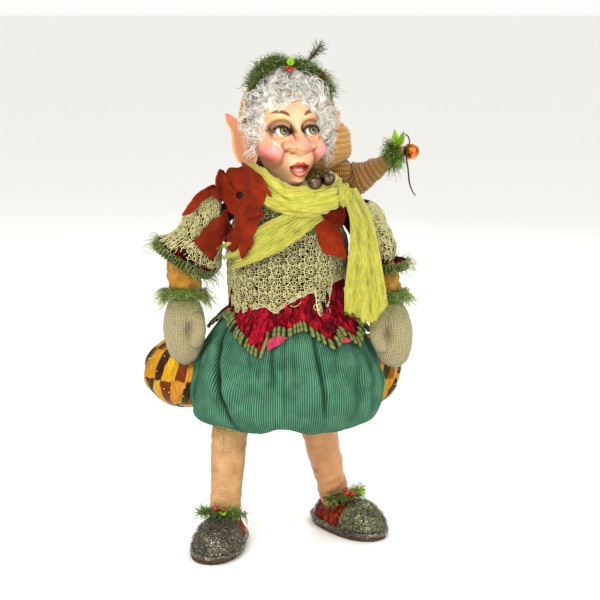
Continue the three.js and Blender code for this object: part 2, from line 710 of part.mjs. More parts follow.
// Right ear from lobe to tip: [x, z] of its middle line, half width and half thickness
const earStations = [[-41, -46, 4, 2.5], [-45, -36, 11, 4.5], [-48, -22, 14, 4.5], [-51, -6, 12, 4],
  [-57, 6, 8, 3], [-66, 17, 1.5, 1.2]];
const earSweep = 14; // degrees that the ears lie back
function earSolid(side, grow = 0) {
  const flip = side === "right" ? 1 : -1;
  const outward = new THREE.Vector3(-Math.cos(rad(earSweep)) * flip, Math.sin(rad(earSweep)), 0);
  const back = new THREE.Vector3(Math.sin(rad(earSweep)) * flip, Math.cos(rad(earSweep)), 0);
  return skinRings(earStations.map(([x, z, halfWidth, halfThickness], i) => {
    const end = i === 0 ? -grow : i === earStations.length - 1 ? grow : 0;
    const middle = new THREE.Vector3(x * flip, (-x - 30) * Math.tan(rad(earSweep)), z + end);
    return ellipseRing(middle, outward.clone().multiplyScalar(halfWidth + grow),
      back.clone().multiplyScalar(halfThickness + grow), 10);
  }));
}

const garlandPath = [[-52, -4, 14], [-46, -12, 40], [-24, -19, 60], [4, -21, 68], [30, -17, 62],
  [49, -8, 42], [56, 2, 18]];
const garlandRadius = 8;
const garlandSolid = (grow = 0) => swell(garlandPath, garlandPath.map(() => garlandRadius),
  { count: 8, steps: 12, grow });

const head = new THREE.Group();
head.position.set(...headPoint);
head.rotation.z = rad(headTurn);

// A point of the doll's frame in the head's own frame
function inHead(point) {
  const local = vec(point).sub(vec(headPoint));
  return local.applyAxisAngle(new THREE.Vector3(0, 0, 1), -rad(headTurn)).toArray();
}
const neckPivot = [0, torsoY, neckPivotHeight];

function buildHead() {
  const eyes = [[-eyeX, eyeY, eyeZ], [eyeX, eyeY, eyeZ]];
  const grownHead = headSolid(14, 10, seatGap + 3.7);
  const neckBelow = inHead([neckPivot[0], neckPivot[1], neckPivotHeight - 40]);
  const neckRoom = (grow) =>
    sweptRoom(inHead(neckPivot), neckBelow, neckRadius + grow, [1, 0, 0], [-nodRoom, nodRoom]);
  const face = cut(headSolid(faceAcross, faceRows), ...eyes.map((at) => ball(eyeRadius + seatGap, at, 10, 8)),
    ...neckRoom(turnGap + 0.3));
  const earOnHead = (side) => cut(earSolid(side), headSolid(faceAcross, faceRows, seatGap));

  const hatForm = (grow) => joinAll(ellipsoid(hatHalf.map((h) => h + grow), hatCentre, 16, 10),
    ellipsoid(bagHalf.map((h) => h + grow), bagCentre, 12, 8));
  const front = block([aside, 120, aside], [0, hatFrontY - 60, 40]);
  const nape = block([aside, aside, 80], [0, 0, hatBottom - 40]);
  const tailBall = ball(tailRadii[0] + tailSeat, inHead(tailPivot), 14, 10);
  const hat = cut(hatForm(0), grownHead, front, nape, tailBall,
    ...sidesOfDoll.map((side) => earSolid(side, seatGap)), ...neckRoom(4));

  const hairForm = (grow) => skinRings(Array.from({ length: 8 }, (_, r) => {
    const polar = (Math.PI * (r + 1)) / 9;
    return angles(18).map((a) => {
      const curl = 1 + 0.05 * Math.sin(5 * a) * Math.sin(5 * polar);
      return new THREE.Vector3(
        hairCentre[0] + (hairHalf[0] * curl + grow) * Math.sin(polar) * Math.cos(a),
        hairCentre[1] + (hairHalf[1] * curl + grow) * Math.sin(polar) * Math.sin(a),
        hairCentre[2] + (hairHalf[2] * curl + grow) * Math.cos(polar));
    });
  }));
  const faceOpening = ellipsoid([36, 60, 46], [0, -62, -12], 20, 14);
  const hair = cut(hairForm(0), grownHead, faceOpening,
    block([aside, 120, aside], [0, hatFrontY - seatGap + 60, 0]),
    block([aside, aside, 80], [0, 0, hairBottom - 40]), ...sidesOfDoll.map((side) => earSolid(side, seatGap)));

  return [
    mesh("head", face, skin),
    mesh("ear_right", earOnHead("right"), skin),
    mesh("ear_left", earOnHead("left"), skin),
    mesh("eye_right", ball(eyeRadius, [0, 0, 0], 10, 8), eyeGloss, eyes[0]),
    mesh("eye_left", ball(eyeRadius, [0, 0, 0], 10, 8), eyeGloss, eyes[1]),
    mesh("hair", hair, mohair),
    mesh("hat", hat, hatKnit),
    mesh("hat_garland", cut(garlandSolid(), hatForm(seatGap), hairForm(seatGap)), moss),
  ];
}
head.add(...buildHead());

// A pine twig and a leaf that stand up from the garland
const twigRoot = [26, -17, 69.5];
const twigTip = [42, -14, 86];
head.add(mesh("hat_pine_twig", cut(rod(twigRoot, twigTip, 1.8, 8, 1), garlandSolid(seatGap)), twig));
const leafLength = 14;
const leafHalfWidth = 5;
head.add(mesh("hat_leaf", sheet((u, v) => new THREE.Vector3(
  (2 * u - 1) * leafHalfWidth * Math.sin(Math.PI * (0.12 + 0.8 * v)), 0.06 * leafLength * (2 * u - 1) ** 2,
  leafLength * v), 2, 5, 1.2, new THREE.Vector3(0, 1, 0)), moss, [6, -31.4, 61]));

const neck = new THREE.Group();
const neckPeg = limb(neckPivot, [0, torsoY, neckBaseHeight - neckSink + seatGap], neckRadius,
  neckRadius - seatGap);
neck.add(mesh("neck", neckPeg, skin));
neck.add(head);
doll.add(neck);

// The tip bell's lug points to the moss, so the bell is turned on its side
const bellLean = -80; // degrees
const [bellX, bellY, bellZ] = tipBellPoint;
const lugPoint = [bellX + (tipBellRadius + lugRise) * Math.sin(rad(bellLean)), bellY,
  bellZ + (tipBellRadius + lugRise) * Math.cos(rad(bellLean))];

// Hat tail, with moss, a copper bell and a curled vine at its tip
const tail = new THREE.Group();
const tailPath = [tailPivot, ...overNeck([[78, 46, -2], [100, 43, 8], [119, 39, 22]])];
const tailForm = (grow) => joinAll(ball(tailRadii[0] + grow, tailPivot, 14, 10),
  swell(tailPath, tailRadii, { count: 12, steps: 10, grow }));
tail.add(mesh("hat_tail", tailForm(0), tailKnit));
const mossPoint = [125, 38, neckBaseHeight + 29];
const mossHalf = [11, 11, 17];
const mossForm = (grow) => ellipsoid(mossHalf.map((h) => h + grow), mossPoint, 12, 8);
const lugRoom = ball(lugRadius + 2 * seatGap, lugPoint, 10, 7);
tail.add(mesh("tail_moss", cut(mossForm(0), tailForm(2 * seatGap), lugRoom), moss));
const vineRadius = 0.9;
const vinePath = overNeck([[138, 26, 53], [142, 24, 49], [143, 23.5, 41], [140, 25, 27], [142, 24, 11],
  [144, 24, -5], [149, 24, -17], [152, 24, -19]]);
const vine = joinAll(swell(vinePath, vinePath.map(() => vineRadius), { count: 4, steps: 16 }),
  rod(...overNeck([[132, 32, 28], [140.2, 25, 28]]), 1.2, 8, 0.9));
tail.add(mesh("tip_vine", cut(vine, mossForm(seatGap)), twig));
neck.add(tail);

const pelletRadius = 2.6;
const tipBell = mesh("tip_bell", jingleBell(tipBellRadius), copper, tipBellPoint);
tipBell.rotation.y = rad(bellLean);
tail.add(tipBell, mesh("tip_bell_pellet", ball(pelletRadius, [0, 0, 0], 8, 6), steel,
  [bellX, bellY, bellZ - (tipBellRadius - bellWall) * 0.92 + pelletRadius + seatGap]));

// Arms

function buildArm(side) {
  const flip = side === "right" ? -1 : 1;
  const shoulder = shoulderPoint[side];
  const elbow = elbowPoint[side];
  const wrist = wristPoint[side];
  const { centre, half, cutHeight, cutSlope } = puff[side];

  // The wire turns in the shoulders as the arm swings, and the arm lifts sideways about its end
  const wire = rod([shoulder[0] - flip * wireReach, shoulder[1], shoulder[2]], shoulder, wireRadius, 8);
  const wireRoom = [0.2, 0.8].map((share) => turned(
    rod([shoulder[0] - flip * 14, shoulder[1], shoulder[2]],
      [shoulder[0] + flip * 2, shoulder[1], shoulder[2]], wireRadius + turnGap, 6),
    [0, flip, 0], armRaise * share, shoulder));

  const forearm = limb(elbow, wrist, forearmRadius, wristRadius, 18, 5);
  const reach = vec(wrist).sub(vec(elbow));
  const bendAxis = side === "right" ? [-1, 0, 0] : [0, -1, 0];
  const forearmRoom = sweptRoom(elbow, vec(elbow).addScaledVector(reach, 1.2).toArray(),
    forearmRadius + turnGap + 0.8, bendAxis, [0, elbowBend]);

  const elbowSocket = placeBetween(new THREE.SphereGeometry(forearmRadius + elbowGap, 18, 10), elbow, wrist);
  const upperArm = cut(limb(shoulder, elbow, armBallRadius, upperArmRadius, 12, 3), ...wireRoom,
    elbowSocket);
  const grownArm = limb(shoulder, elbow, armBallRadius + seatGap, upperArmRadius + seatGap, 12, 3);

  // The puff is a soft ellipsoid, cut flat beside the body and on a slant at its trim
  const slant = rad(cutSlope);
  const below = new THREE.BoxGeometry(160, 160, 120).translate(0, 0, -60)
    .rotateY(slant).translate(elbow[0], elbow[1], cutHeight);
  const inside = block([80, 200, 200], [flip * (sleeveInnerX - 40), 0, centre[2]]);
  const puffForm = skinRings(Array.from({ length: 8 }, (_, r) => {
    const polar = (Math.PI * (r + 1)) / 9;
    return angles(18).map((a) => {
      const gather = 1 + 0.035 * Math.cos(9 * a) * Math.sin(polar);
      return new THREE.Vector3(centre[0] + half[0] * gather * Math.sin(polar) * Math.cos(a),
        centre[1] + half[1] * gather * Math.sin(polar) * Math.sin(a), centre[2] + half[2] * Math.cos(polar));
    });
  }));
  const sleeve = cut(puffForm, below, inside, grownArm, ...forearmRoom);

  // The ruched trim closes the sleeve round the forearm, on the same slant
  const trimInner = forearmRadius + 6;
  const trimOuter = Math.min(half[0], half[1]) + 1;
  const trimRuffles = 9;
  const trimRing = (radius, level) => angles(2 * trimRuffles).map((a) => {
    const ruffle = radius > trimInner ? 1 + 0.04 * Math.cos(trimRuffles * a) : 1;
    return new THREE.Vector3(radius * ruffle * Math.cos(a), radius * ruffle * Math.sin(a), level);
  });
  const trimThickness = 8;
  const trim = skinRings([trimRing(trimInner, -seatGap), trimRing(trimOuter - 2, -seatGap),
    trimRing(trimOuter, -trimThickness / 2), trimRing(trimOuter - 2, -trimThickness),
    trimRing(trimInner, -trimThickness)], true)
    .rotateY(slant).translate(elbow[0], elbow[1], cutHeight);
  const trimCut = cut(trim, ...forearmRoom, inside);

  const down = reach.clone().normalize();
  const cuffMiddle = vec(wrist).addScaledVector(down, -cuffHeight / 2);
  const across = new THREE.Vector3(0, 1, 0).cross(down).normalize();
  const along = down.clone().cross(across);
  const cuffRing = (radius, level) => ellipseRing(cuffMiddle.clone().addScaledVector(down, level),
    across.clone().multiplyScalar(radius), along.clone().multiplyScalar(radius), 16);
  const cuffInner = 2 * seatGap +
    THREE.MathUtils.lerp(wristRadius, forearmRadius, cuffHeight / reach.length());
  const cuff = skinRings([
    cuffRing(cuffInner, -cuffHeight / 2), cuffRing(forearmRadius + cuffThickness, -cuffHeight / 4),
    cuffRing(forearmRadius + cuffThickness, cuffHeight / 4), cuffRing(cuffInner, cuffHeight / 2)], true);

  // Mitten: a flat pouch with the thumb folded across its inner edge
  const lean = rad(mittenLean[side] * flip);
  const mittenForm = joinAll(
    skinRings(Array.from({ length: 8 }, (_, r) => {
      const share = r / 7;
      const fullness = Math.sin(Math.PI * (0.16 + 0.8 * share)) ** 0.55;
      return ellipseRing(new THREE.Vector3(0, -4 * share, -mittenLength * share),
        new THREE.Vector3(mittenHalfWidth * fullness, 0, 0),
        new THREE.Vector3(0, mittenHalfThickness * fullness, 0), 12);
    })),
    swell([[-flip * 16, -8, -20], [-flip * 17, -13, -36], [-flip * 13, -14, -52]], [7, 8.5, 7],
      { count: 7, steps: 5 }))
    .rotateY(-lean).translate(wrist[0], wrist[1], wrist[2] - seatGap);
  const grownForearm = limb(elbow, vec(wrist).addScaledVector(reach.clone().normalize(), seatGap).toArray(),
    forearmRadius + seatGap, wristRadius + seatGap, 18, 5);
  return {
    hub: mesh("arm_wire_" + side, wire, steel),
    upper: [mesh("upper_arm_" + side, upperArm, muslin), mesh("puff_sleeve_" + side, sleeve, laceThread),
      mesh("sleeve_trim_" + side, trimCut, oliveRuche)],
    lower: [mesh("forearm_" + side, forearm, mustardCloth), mesh("cuff_moss_" + side, cuff, moss),
      mesh("mitten_" + side, cut(mittenForm, grownForearm), knitWool)],
  };
}

for (const side of sidesOfDoll) {
  const arm = buildArm(side);
  const hub = new THREE.Group();
  const upper = new THREE.Group();
  const lower = new THREE.Group();
  hub.add(arm.hub, upper);
  upper.add(...arm.upper, lower);
  lower.add(...arm.lower);
  doll.add(hub);
}

// Shoes: rounded toes, a velvet instep and a flat sole

// Half width and height along the foot, from heel (0) to toe (1)
const footHalfWidth = (share) =>
  (shoeWidth / 2) * Math.sqrt(Math.max(1 - Math.abs(2 * share - 1) ** 2.4, 0)) * (0.86 + 0.14 * share);
const footHeight = (share) => THREE.MathUtils.lerp(heelHeight, toeHeight, share) *
  Math.sqrt(Math.max(1 - Math.abs(2 * share - 1) ** 3.2, 0));
const ankleShare = 0.3;

function shoeSolids() {
  const steps = 10;
  const shares = Array.from({ length: steps + 1 }, (_, i) =>
    0.5 - 0.497 * Math.cos((Math.PI * i) / steps));
  const along = (share) => shoeLength * (ankleShare - share); // towards -Y at the toe
  const upper = skinRings(shares.map((share) => angles(16).map((a) => new THREE.Vector3(
    footHalfWidth(share) * Math.cos(a), along(share),
    soleThickness + seatGap + Math.max(Math.sin(a), 0) * footHeight(share)))));
  const outline = [...shares.map((s) => [footHalfWidth(s) + 1, along(s)]),
    ...shares.slice().reverse().map((s) => [-footHalfWidth(s) - 1, along(s)])];
  const shape = new THREE.Shape(outline.map(([x, y]) => new THREE.Vector2(x, y)));
  const sole = new THREE.ExtrudeGeometry(shape, { depth: soleThickness, bevelEnabled: false, steps: 1 });
  return { upper, sole };
}

function buildLeg(side) {
  const { hip, knee, ankle, shin, thigh } = legs[side];
  const down = vec(ankle).sub(vec(knee));
  const bent = sweptRoom(knee, vec(knee).addScaledVector(down.clone().normalize(), 50).toArray(),
    shinRadius + turnGap, [1, 0, 0], [kneeBend / 2, kneeBend]);
  const thighCut = cut(thigh, ...bent);

  const { upper, sole } = shoeSolids();
  const shoe = new THREE.Group();
  shoe.position.set(ankle[0], ankle[1], 0);
  shoe.rotation.z = rad(side === "right" ? -toeOut.right : toeOut.left);
  const local = (geometry) => geometry.clone()
    .translate(-ankle[0], -ankle[1], 0)
    .applyMatrix4(new THREE.Matrix4().makeRotationZ(-shoe.rotation.z));
  const shinGrown = rod(knee, vec(ankle).addScaledVector(down.clone().normalize(), seatGap).toArray(),
    shinRadius + seatGap, 20, ankleRadius + seatGap);
  const upperCut = cut(upper, local(shinGrown));

  // A collar of greenery lies over the instep, in front of the ankle
  const sprigForm = swell([[-24, -10, 0], [-13, -24, 6], [0, -29, 9], [13, -24, 6], [24, -10, 0]],
    [3.5, 5.5, 6.5, 5.5, 3.5], { count: 8, steps: 12 }).translate(0, 0, toeHeight - 1.2);
  const grownUpper = skinRings(Array.from({ length: 11 }, (_, i) => {
    const share = 0.5 - 0.497 * Math.cos((Math.PI * i) / 10);
    return angles(16).map((a) => new THREE.Vector3((footHalfWidth(share) + seatGap) * Math.cos(a),
      shoeLength * (ankleShare - share),
      soleThickness + seatGap + Math.max(Math.sin(a), 0) * footHeight(share) + seatGap));
  }));
  const sprig = cut(sprigForm, grownUpper, local(shinGrown));
  shoe.add(mesh("shoe_upper_" + side, upperCut, glitter), mesh("shoe_sole_" + side, sole, redVelvet),
    mesh("shoe_sprig_" + side, sprig, moss));
  return {
    upper: [mesh("thigh_" + side, thighCut, stockingCloth)],
    lower: [mesh("shin_" + side, shin, stockingCloth), shoe],
  };
}

for (const side of sidesOfDoll) {
  const leg = buildLeg(side);
  const upper = new THREE.Group();
  const lower = new THREE.Group();
  upper.add(...leg.upper, lower);
  lower.add(...leg.lower);
  doll.add(upper);
}

// The origin goes to the floor under the middle of the whole doll's box
doll.updateMatrixWorld(true);
const box = new THREE.Box3().setFromObject(doll, true);
const middle = box.getCenter(new THREE.Vector3());
doll.position.set(-middle.x, -middle.y, -box.min.z);

export default doll;
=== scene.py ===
import bpy
import json
import math
import numpy as np
from numpy import array, clip, cos, exp, linspace, sin, sqrt, stack
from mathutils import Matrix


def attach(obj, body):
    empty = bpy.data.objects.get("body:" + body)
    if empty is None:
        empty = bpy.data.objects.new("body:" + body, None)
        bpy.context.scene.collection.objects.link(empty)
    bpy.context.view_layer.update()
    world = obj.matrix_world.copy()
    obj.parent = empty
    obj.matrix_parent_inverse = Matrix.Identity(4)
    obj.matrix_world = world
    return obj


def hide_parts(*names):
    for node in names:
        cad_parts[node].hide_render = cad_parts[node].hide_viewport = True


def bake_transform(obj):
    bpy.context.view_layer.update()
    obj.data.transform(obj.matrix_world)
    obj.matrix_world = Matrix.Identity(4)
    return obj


# An elf doll: resin head, stuffed body, layered clothes. It faces -Y; right and left are the doll's own.
# Shapes are worked out in the doll's millimetres, then moved to the frame's metres in makePiece.
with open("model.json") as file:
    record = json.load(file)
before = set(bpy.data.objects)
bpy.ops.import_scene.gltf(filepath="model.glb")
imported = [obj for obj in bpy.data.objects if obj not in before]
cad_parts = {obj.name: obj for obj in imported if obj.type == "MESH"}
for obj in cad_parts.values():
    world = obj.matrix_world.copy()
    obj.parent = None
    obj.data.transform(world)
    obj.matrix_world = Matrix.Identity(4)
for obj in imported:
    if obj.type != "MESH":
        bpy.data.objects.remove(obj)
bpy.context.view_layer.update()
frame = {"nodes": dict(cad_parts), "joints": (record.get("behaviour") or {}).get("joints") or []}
jointAt = {joint["name"]: 1000 * array(joint["pos_m"]) for joint in frame["joints"]}
neckAt = array([0.0, 4.0, 451.0])  # the neck's turning point in the doll's millimetres
frameShift = jointAt["neck_turn"] - neckAt
sides = ("right", "left")
outward = {"right": -1, "left": 1}
hipAt = {s: jointAt["hip_swing_" + s] - frameShift for s in sides}
kneeAt = {s: jointAt["knee_bend_" + s] - frameShift for s in sides}
elbowAt = {s: jointAt["elbow_bend_" + s] - frameShift for s in sides}


# numbers and fields
def smooth(t):  # eases from 0 to 1
    t = clip(t, 0, 1)
    return t * t * (3 - 2 * t)


def lerp(a, b, t):  # a share t of the way from a to b
    return a + (b - a) * t


def eased(stations, place):  # eases from station to station: (place, value) pairs in rising place
    places, values = array(stations, float).T
    k = clip(np.searchsorted(places, place) - 1, 0, len(places) - 2)
    return lerp(values[k], values[k + 1], smooth((place - places[k]) / (places[k + 1] - places[k])))


def wander(seed, count, wave, *coords):  # a smooth random field: sines in seeded directions, about +-1
    rng = seeded(seed)
    total = 0
    for _ in range(count):
        way = rng.normal(size=len(coords)) * 2 * math.pi / wave
        total = total + sin(sum(w * c for w, c in zip(way, coords)) + rng.uniform(0, 2 * math.pi))
    return total * 1.4 / math.sqrt(count)


def wrapped(angle):  # the same angle from minus pi to pi
    return (angle + math.pi) % (2 * math.pi) - math.pi


def hump(x, middle, width):  # a bell curve, 1 at its middle
    return exp(-((x - middle) / width) ** 2)


def fan(count):  # angles round a ring
    return linspace(0, 2 * math.pi, count, endpoint=False)


def down(low, high, count):  # even values down the rows of a grid
    return linspace(low, high, count)[:, None]


def circle(turn, radius=1.0):  # points of a flat circle at these angles
    return radius * stack([cos(turn), sin(turn)], 1)


def directions(polar, turn):  # unit vectors from the angle to the pole and the angle round it
    flat = sin(polar)
    return stack([flat * cos(turn), flat * sin(turn), cos(polar) + 0 * turn], -1)


def unit(vectors):  # the same directions, each of length 1
    return vectors / np.maximum(np.linalg.norm(vectors, axis=-1, keepdims=True), 1e-9)


def seeded(seed):  # random draws that are the same in every run
    return np.random.default_rng(seed)


def spun(points, degrees, about=(0, 0, 0), axis=2):  # turned about a line along a main axis
    c, s = math.cos(math.radians(degrees)), math.sin(math.radians(degrees))
    i, j = [(1, 2), (2, 0), (0, 1)][axis]
    p = array(points, float) - about
    q = p.copy()
    q[..., i], q[..., j] = c * p[..., i] - s * p[..., j], s * p[..., i] + c * p[..., j]
    return q + about


def along(path, count, closed=False):  # a Catmull-Rom line through the points, at even distances
    p = array(path, float)
    p = np.vstack([p[-1:], p, p[:2]]) if closed else np.vstack([2 * p[0] - p[1], p, 2 * p[-1] - p[-2]])
    t = linspace(0, len(p) - 3, 40 * (len(p) - 3) + 1)
    k = np.minimum(t.astype(int), len(p) - 4)
    f = (t - k)[:, None]
    a, b, c, d = p[k], p[k + 1], p[k + 2], p[k + 3]
    line = 0.5 * (2 * b + (c - a) * f + (2 * a - 5 * b + 4 * c - d) * f ** 2 +
                  (3 * b - a - 3 * c + d) * f ** 3)
    run = np.concatenate([[0], np.cumsum(np.linalg.norm(np.diff(line, axis=0), axis=1))])
    even = linspace(0, run[-1], count + 1)[:-1] if closed else linspace(0, run[-1], count)
    return stack([np.interp(even, run, line[:, i]) for i in range(3)], 1)


def frames(line, up=(0, 0, 1), closed=False):  # side and lift vectors of a line, from a fixed up
    ahead = unit(np.roll(line, -1, 0) - np.roll(line, 1, 0) if closed else np.gradient(line, axis=0))
    side = unit(np.cross(ahead, array(up, float)))
    return side, np.cross(side, ahead)


# skins: points, faces and uv as whole arrays
def gridSkin(points, wrapAcross=False, wrapAlong=False, capStart=False, capEnd=False, uvSize=(1, 1),
             tint=None):
    # points[row, column]; rows run along, columns across; a cap is a fan about the ring's middle
    rows, cols = points.shape[:2]
    r = np.arange(rows if wrapAlong else rows - 1)
    c = np.arange(cols if wrapAcross else cols - 1)
    r, c = (x.ravel() for x in np.meshgrid(r, c, indexing="ij"))
    corner = stack([stack([r + i, c + j], 1) for i, j in ((0, 0), (0, 1), (1, 1), (1, 0))], 1)
    quads = (corner[..., 0] % rows) * cols + corner[..., 1] % cols
    across, length = cols if wrapAcross else cols - 1, rows if wrapAlong else rows - 1
    quadUv = stack([corner[..., 1] / across * uvSize[0], corner[..., 0] / length * uvSize[1]], 2)
    verts, tris, triUv = [points.reshape(-1, 3)], [], []
    tints = None if tint is None else [np.broadcast_to(tint, points.shape).reshape(-1, 3)]
    for wanted, row, flip in ((capStart, 0, True), (capEnd, rows - 1, False)):
        if not wanted:
            continue
        middle = rows * cols + len(tris)
        verts.append(points[row].mean(0, keepdims=True))
        if tints:
            tints.append(tints[0][row * cols:(row + 1) * cols].mean(0, keepdims=True))
        a = row * cols + np.arange(cols)
        b = row * cols + (np.arange(cols) + 1) % cols
        tris.append(stack([b, a, 0 * a + middle] if flip else [a, b, 0 * a + middle], 1))
        turn = stack([np.arange(cols) / cols * uvSize[0], 0 * a + row / max(length, 1) * uvSize[1]], 1)
        triUv.append(stack([turn, np.roll(turn, -1, 0), turn], 1))
    return {"verts": np.vstack(verts), "quads": quads, "quadUv": quadUv,
            "tris": np.vstack(tris) if tris else np.zeros((0, 3), int),
            "triUv": np.vstack(triUv) if triUv else np.zeros((0, 3, 2)),
            "tint": None if tints is None else np.vstack(tints)}


def shell(points, **more):  # rings with a cap at both ends
    return gridSkin(points, wrapAcross=True, capStart=True, capEnd=True, **more)


def joined(*skins):  # several skins as one; a skin without a tint is white
    whole, base = {}, 0
    for s in skins:
        whole.setdefault("quads", []).append(s["quads"] + base)
        whole.setdefault("tris", []).append(s["tris"] + base)
        for key in ("verts", "quadUv", "triUv"):
            whole.setdefault(key, []).append(s[key])
        whole.setdefault("tint", []).append(np.ones_like(s["verts"]) if s["tint"] is None else s["tint"])
        base += len(s["verts"])
    return {key: np.concatenate(value) for key, value in whole.items()}


def thick(points, wall, uvSize=(1, 1), wrapAcross=False, tint=None):
    # a sheet of cloth or leather: the grid, the same grid one wall behind it, and a rim between them
    du, dv = np.gradient(points, axis=1), np.gradient(points, axis=0)
    if wrapAcross:
        du = (np.roll(points, -1, 1) - np.roll(points, 1, 1)) / 2
    behind = points - unit(np.cross(du, dv)) * wall
    loop = np.concatenate([points, behind[::-1]], 0)
    skin = gridSkin(loop, wrapAcross=wrapAcross, wrapAlong=True, uvSize=(uvSize[0], 2 * uvSize[1]),
                    tint=None if tint is None else np.concatenate([tint, tint[::-1]], 0))
    if wrapAcross:
        return skin
    rows, cols = points.shape[:2]
    index = np.arange(2 * rows * cols).reshape(2 * rows, cols)
    ends = []
    for col, flip in ((0, False), (cols - 1, True)):
        a, b = index[:rows - 1, col], index[1:rows, col]
        c, d = index[::-1][1:rows, col], index[::-1][:rows - 1, col]
        ends.append(stack([b, a, d, c] if not flip else [a, b, c, d], 1))
    ends = np.vstack(ends)
    skin["quads"] = np.vstack([skin["quads"], ends])
    skin["quadUv"] = np.vstack([skin["quadUv"], np.zeros((len(ends), 4, 2))])
    return skin


def strandSkin(paths, radius, sides=3, tint=None, closed=False):
    # many thin tubes at once: paths[strand, step], radius broadcast to [strand, step]
    count, steps = paths.shape[:2]
    ahead = unit(np.roll(paths, -1, 1) - np.roll(paths, 1, 1) if closed else np.gradient(paths, axis=1))
    pick = np.where(np.abs(ahead[:, :1, 2:]) < 0.8, [[[0, 0, 1.0]]], [[[1.0, 0, 0]]])
    side = unit(np.cross(ahead, pick))
    lift = np.cross(side, ahead)
    turn = fan(sides)
    radius = np.broadcast_to(radius, (count, steps))[:, :, None, None]
    ring = paths[:, :, None] + radius * (side[:, :, None] * cos(turn)[:, None] +
                                         lift[:, :, None] * sin(turn)[:, None])
    n = np.arange(count)[:, None, None]
    k = np.arange(steps if closed else steps - 1)[None, :, None]
    j = np.arange(sides)[None, None, :]
    at = lambda kk, jj: ((n * steps + kk % steps) * sides + jj % sides).ravel()
    quads = stack([at(k, j), at(k, j + 1), at(k + 1, j + 1), at(k + 1, j)], 1)
    uv = stack([np.broadcast_to(j / sides, (count, k.shape[1], sides)),
                np.broadcast_to(k / steps, (count, k.shape[1], sides))], 3).reshape(-1, 1, 2)
    tris = np.zeros((0, 3), int)
    if not closed:
        first = np.arange(count)[:, None] * steps * sides
        fans = np.arange(1, sides - 1)
        low = stack([first + 0 * fans, first + fans + 1, first + fans], 2).reshape(-1, 3)
        high = stack([first + 0 * fans, first + fans, first + fans + 1], 2).reshape(-1, 3)
        tris = np.vstack([low, high + (steps - 1) * sides])
    shade = None
    if tint is not None:
        shade = np.broadcast_to(array(tint)[:, None, None], (count, steps, sides, 3)).reshape(-1, 3)
    return {"verts": ring.reshape(-1, 3), "quads": quads, "quadUv": np.repeat(uv, 4, 1), "tris": tris,
            "triUv": np.zeros((len(tris), 3, 2)), "tint": shade}


def ballSkin(centre, half, rows=12, cols=18, push=None, tint=None, uvSize=(1, 1)):
    # an ellipsoid of rings from pole to pole; push(direction) moves its surface out
    polar = linspace(0, math.pi, rows + 2)[1:-1, None]
    turn = fan(cols)[None]
    way = directions(polar, turn)
    size = 1 if push is None else push(way)[..., None]
    points = array(centre) + way * size * array(half, float)
    return shell(points[::-1], uvSize=uvSize, tint=tint)


def tubeSkin(path, radii, steps=40, sides=24, up=(0, 0, 1), push=None, closed=False, uvSize=(1, 1), tint=None,
             flat=1.0, domed=(True, True)):
    # a profile carried along a line: radii ease along it, push(share, turn) is added, ends are domed
    line = along(path, steps, closed)
    side, lift = frames(line, up, closed)
    share = linspace(0, 1, steps, endpoint=not closed)
    stations = list(radii) + ([radii[0]] if closed else [])
    radius = eased(list(zip(linspace(0, 1, len(stations)), stations)), share)
    if not closed:
        length = np.linalg.norm(np.diff(line, axis=0), axis=1).sum()
        for start, reach in ((domed[0], share), (domed[1], 1 - share)):
            if start:
                near = clip(reach * length / radius, 0, 1)
                radius = radius * np.maximum(sqrt(1 - (1 - near) ** 2), 0.12)
    turn = fan(sides)[None]
    r = radius[:, None] + (0 if push is None else push(share[:, None], turn))
    points = line[:, None] + side[:, None] * (r * cos(turn))[..., None] + \
        lift[:, None] * (r * flat * sin(turn))[..., None]
    return gridSkin(points, wrapAcross=True, wrapAlong=closed, capStart=not closed, capEnd=not closed,
                    uvSize=uvSize, tint=tint)


def makePiece(name, skin, look, body, replaces=(), flip=False):
    # a smooth mesh from a skin in one of the finishes; flip turns its faces over
    verts = (skin["verts"] + frameShift) / 1000
    order = -1 if flip else 1
    quads, tris, quadUv, triUv = (skin[key][:, ::order] for key in ("quads", "tris", "quadUv", "triUv"))
    mesh = bpy.data.meshes.new(name)
    mesh.vertices.add(len(verts))
    mesh.vertices.foreach_set("co", verts.ravel())
    mesh.loops.add(quads.size + tris.size)
    mesh.loops.foreach_set("vertex_index", np.concatenate([quads.ravel(), tris.ravel()]).astype(np.int32))
    mesh.polygons.add(len(quads) + len(tris))
    total = np.concatenate([np.full(len(quads), 4), np.full(len(tris), 3)]).astype(np.int32)
    mesh.polygons.foreach_set("loop_start", np.concatenate([[0], np.cumsum(total)[:-1]]).astype(np.int32))
    mesh.polygons.foreach_set("loop_total", total)
    mesh.polygons.foreach_set("use_smooth", np.ones(len(total), bool))
    uv = np.concatenate([quadUv.reshape(-1, 2), triUv.reshape(-1, 2)])
    mesh.uv_layers.new(name="cut").data.foreach_set("uv", uv.ravel())
    if skin["tint"] is not None:
        paint = mesh.color_attributes.new("tint", "FLOAT_COLOR", "POINT")
        paint.data.foreach_set("color", np.hstack([skin["tint"], np.ones((len(verts), 1))]).ravel())
    mesh.update(calc_edges=True)
    mesh.validate()
    mesh.materials.append(finish[look])
    piece = show(name, mesh)
    if body:
        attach(piece, body)
    if replaces:
        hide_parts(*replaces)
    return piece


# materials
def colour(code):  # a screen colour as linear light
    c = array([int(code[i:i + 2], 16) / 255 for i in (1, 3, 5)])
    return np.where(c <= 0.04045, c / 12.92, ((c + 0.055) / 1.055) ** 2.4)


def rgba(code):
    return (*colour(code), 1)


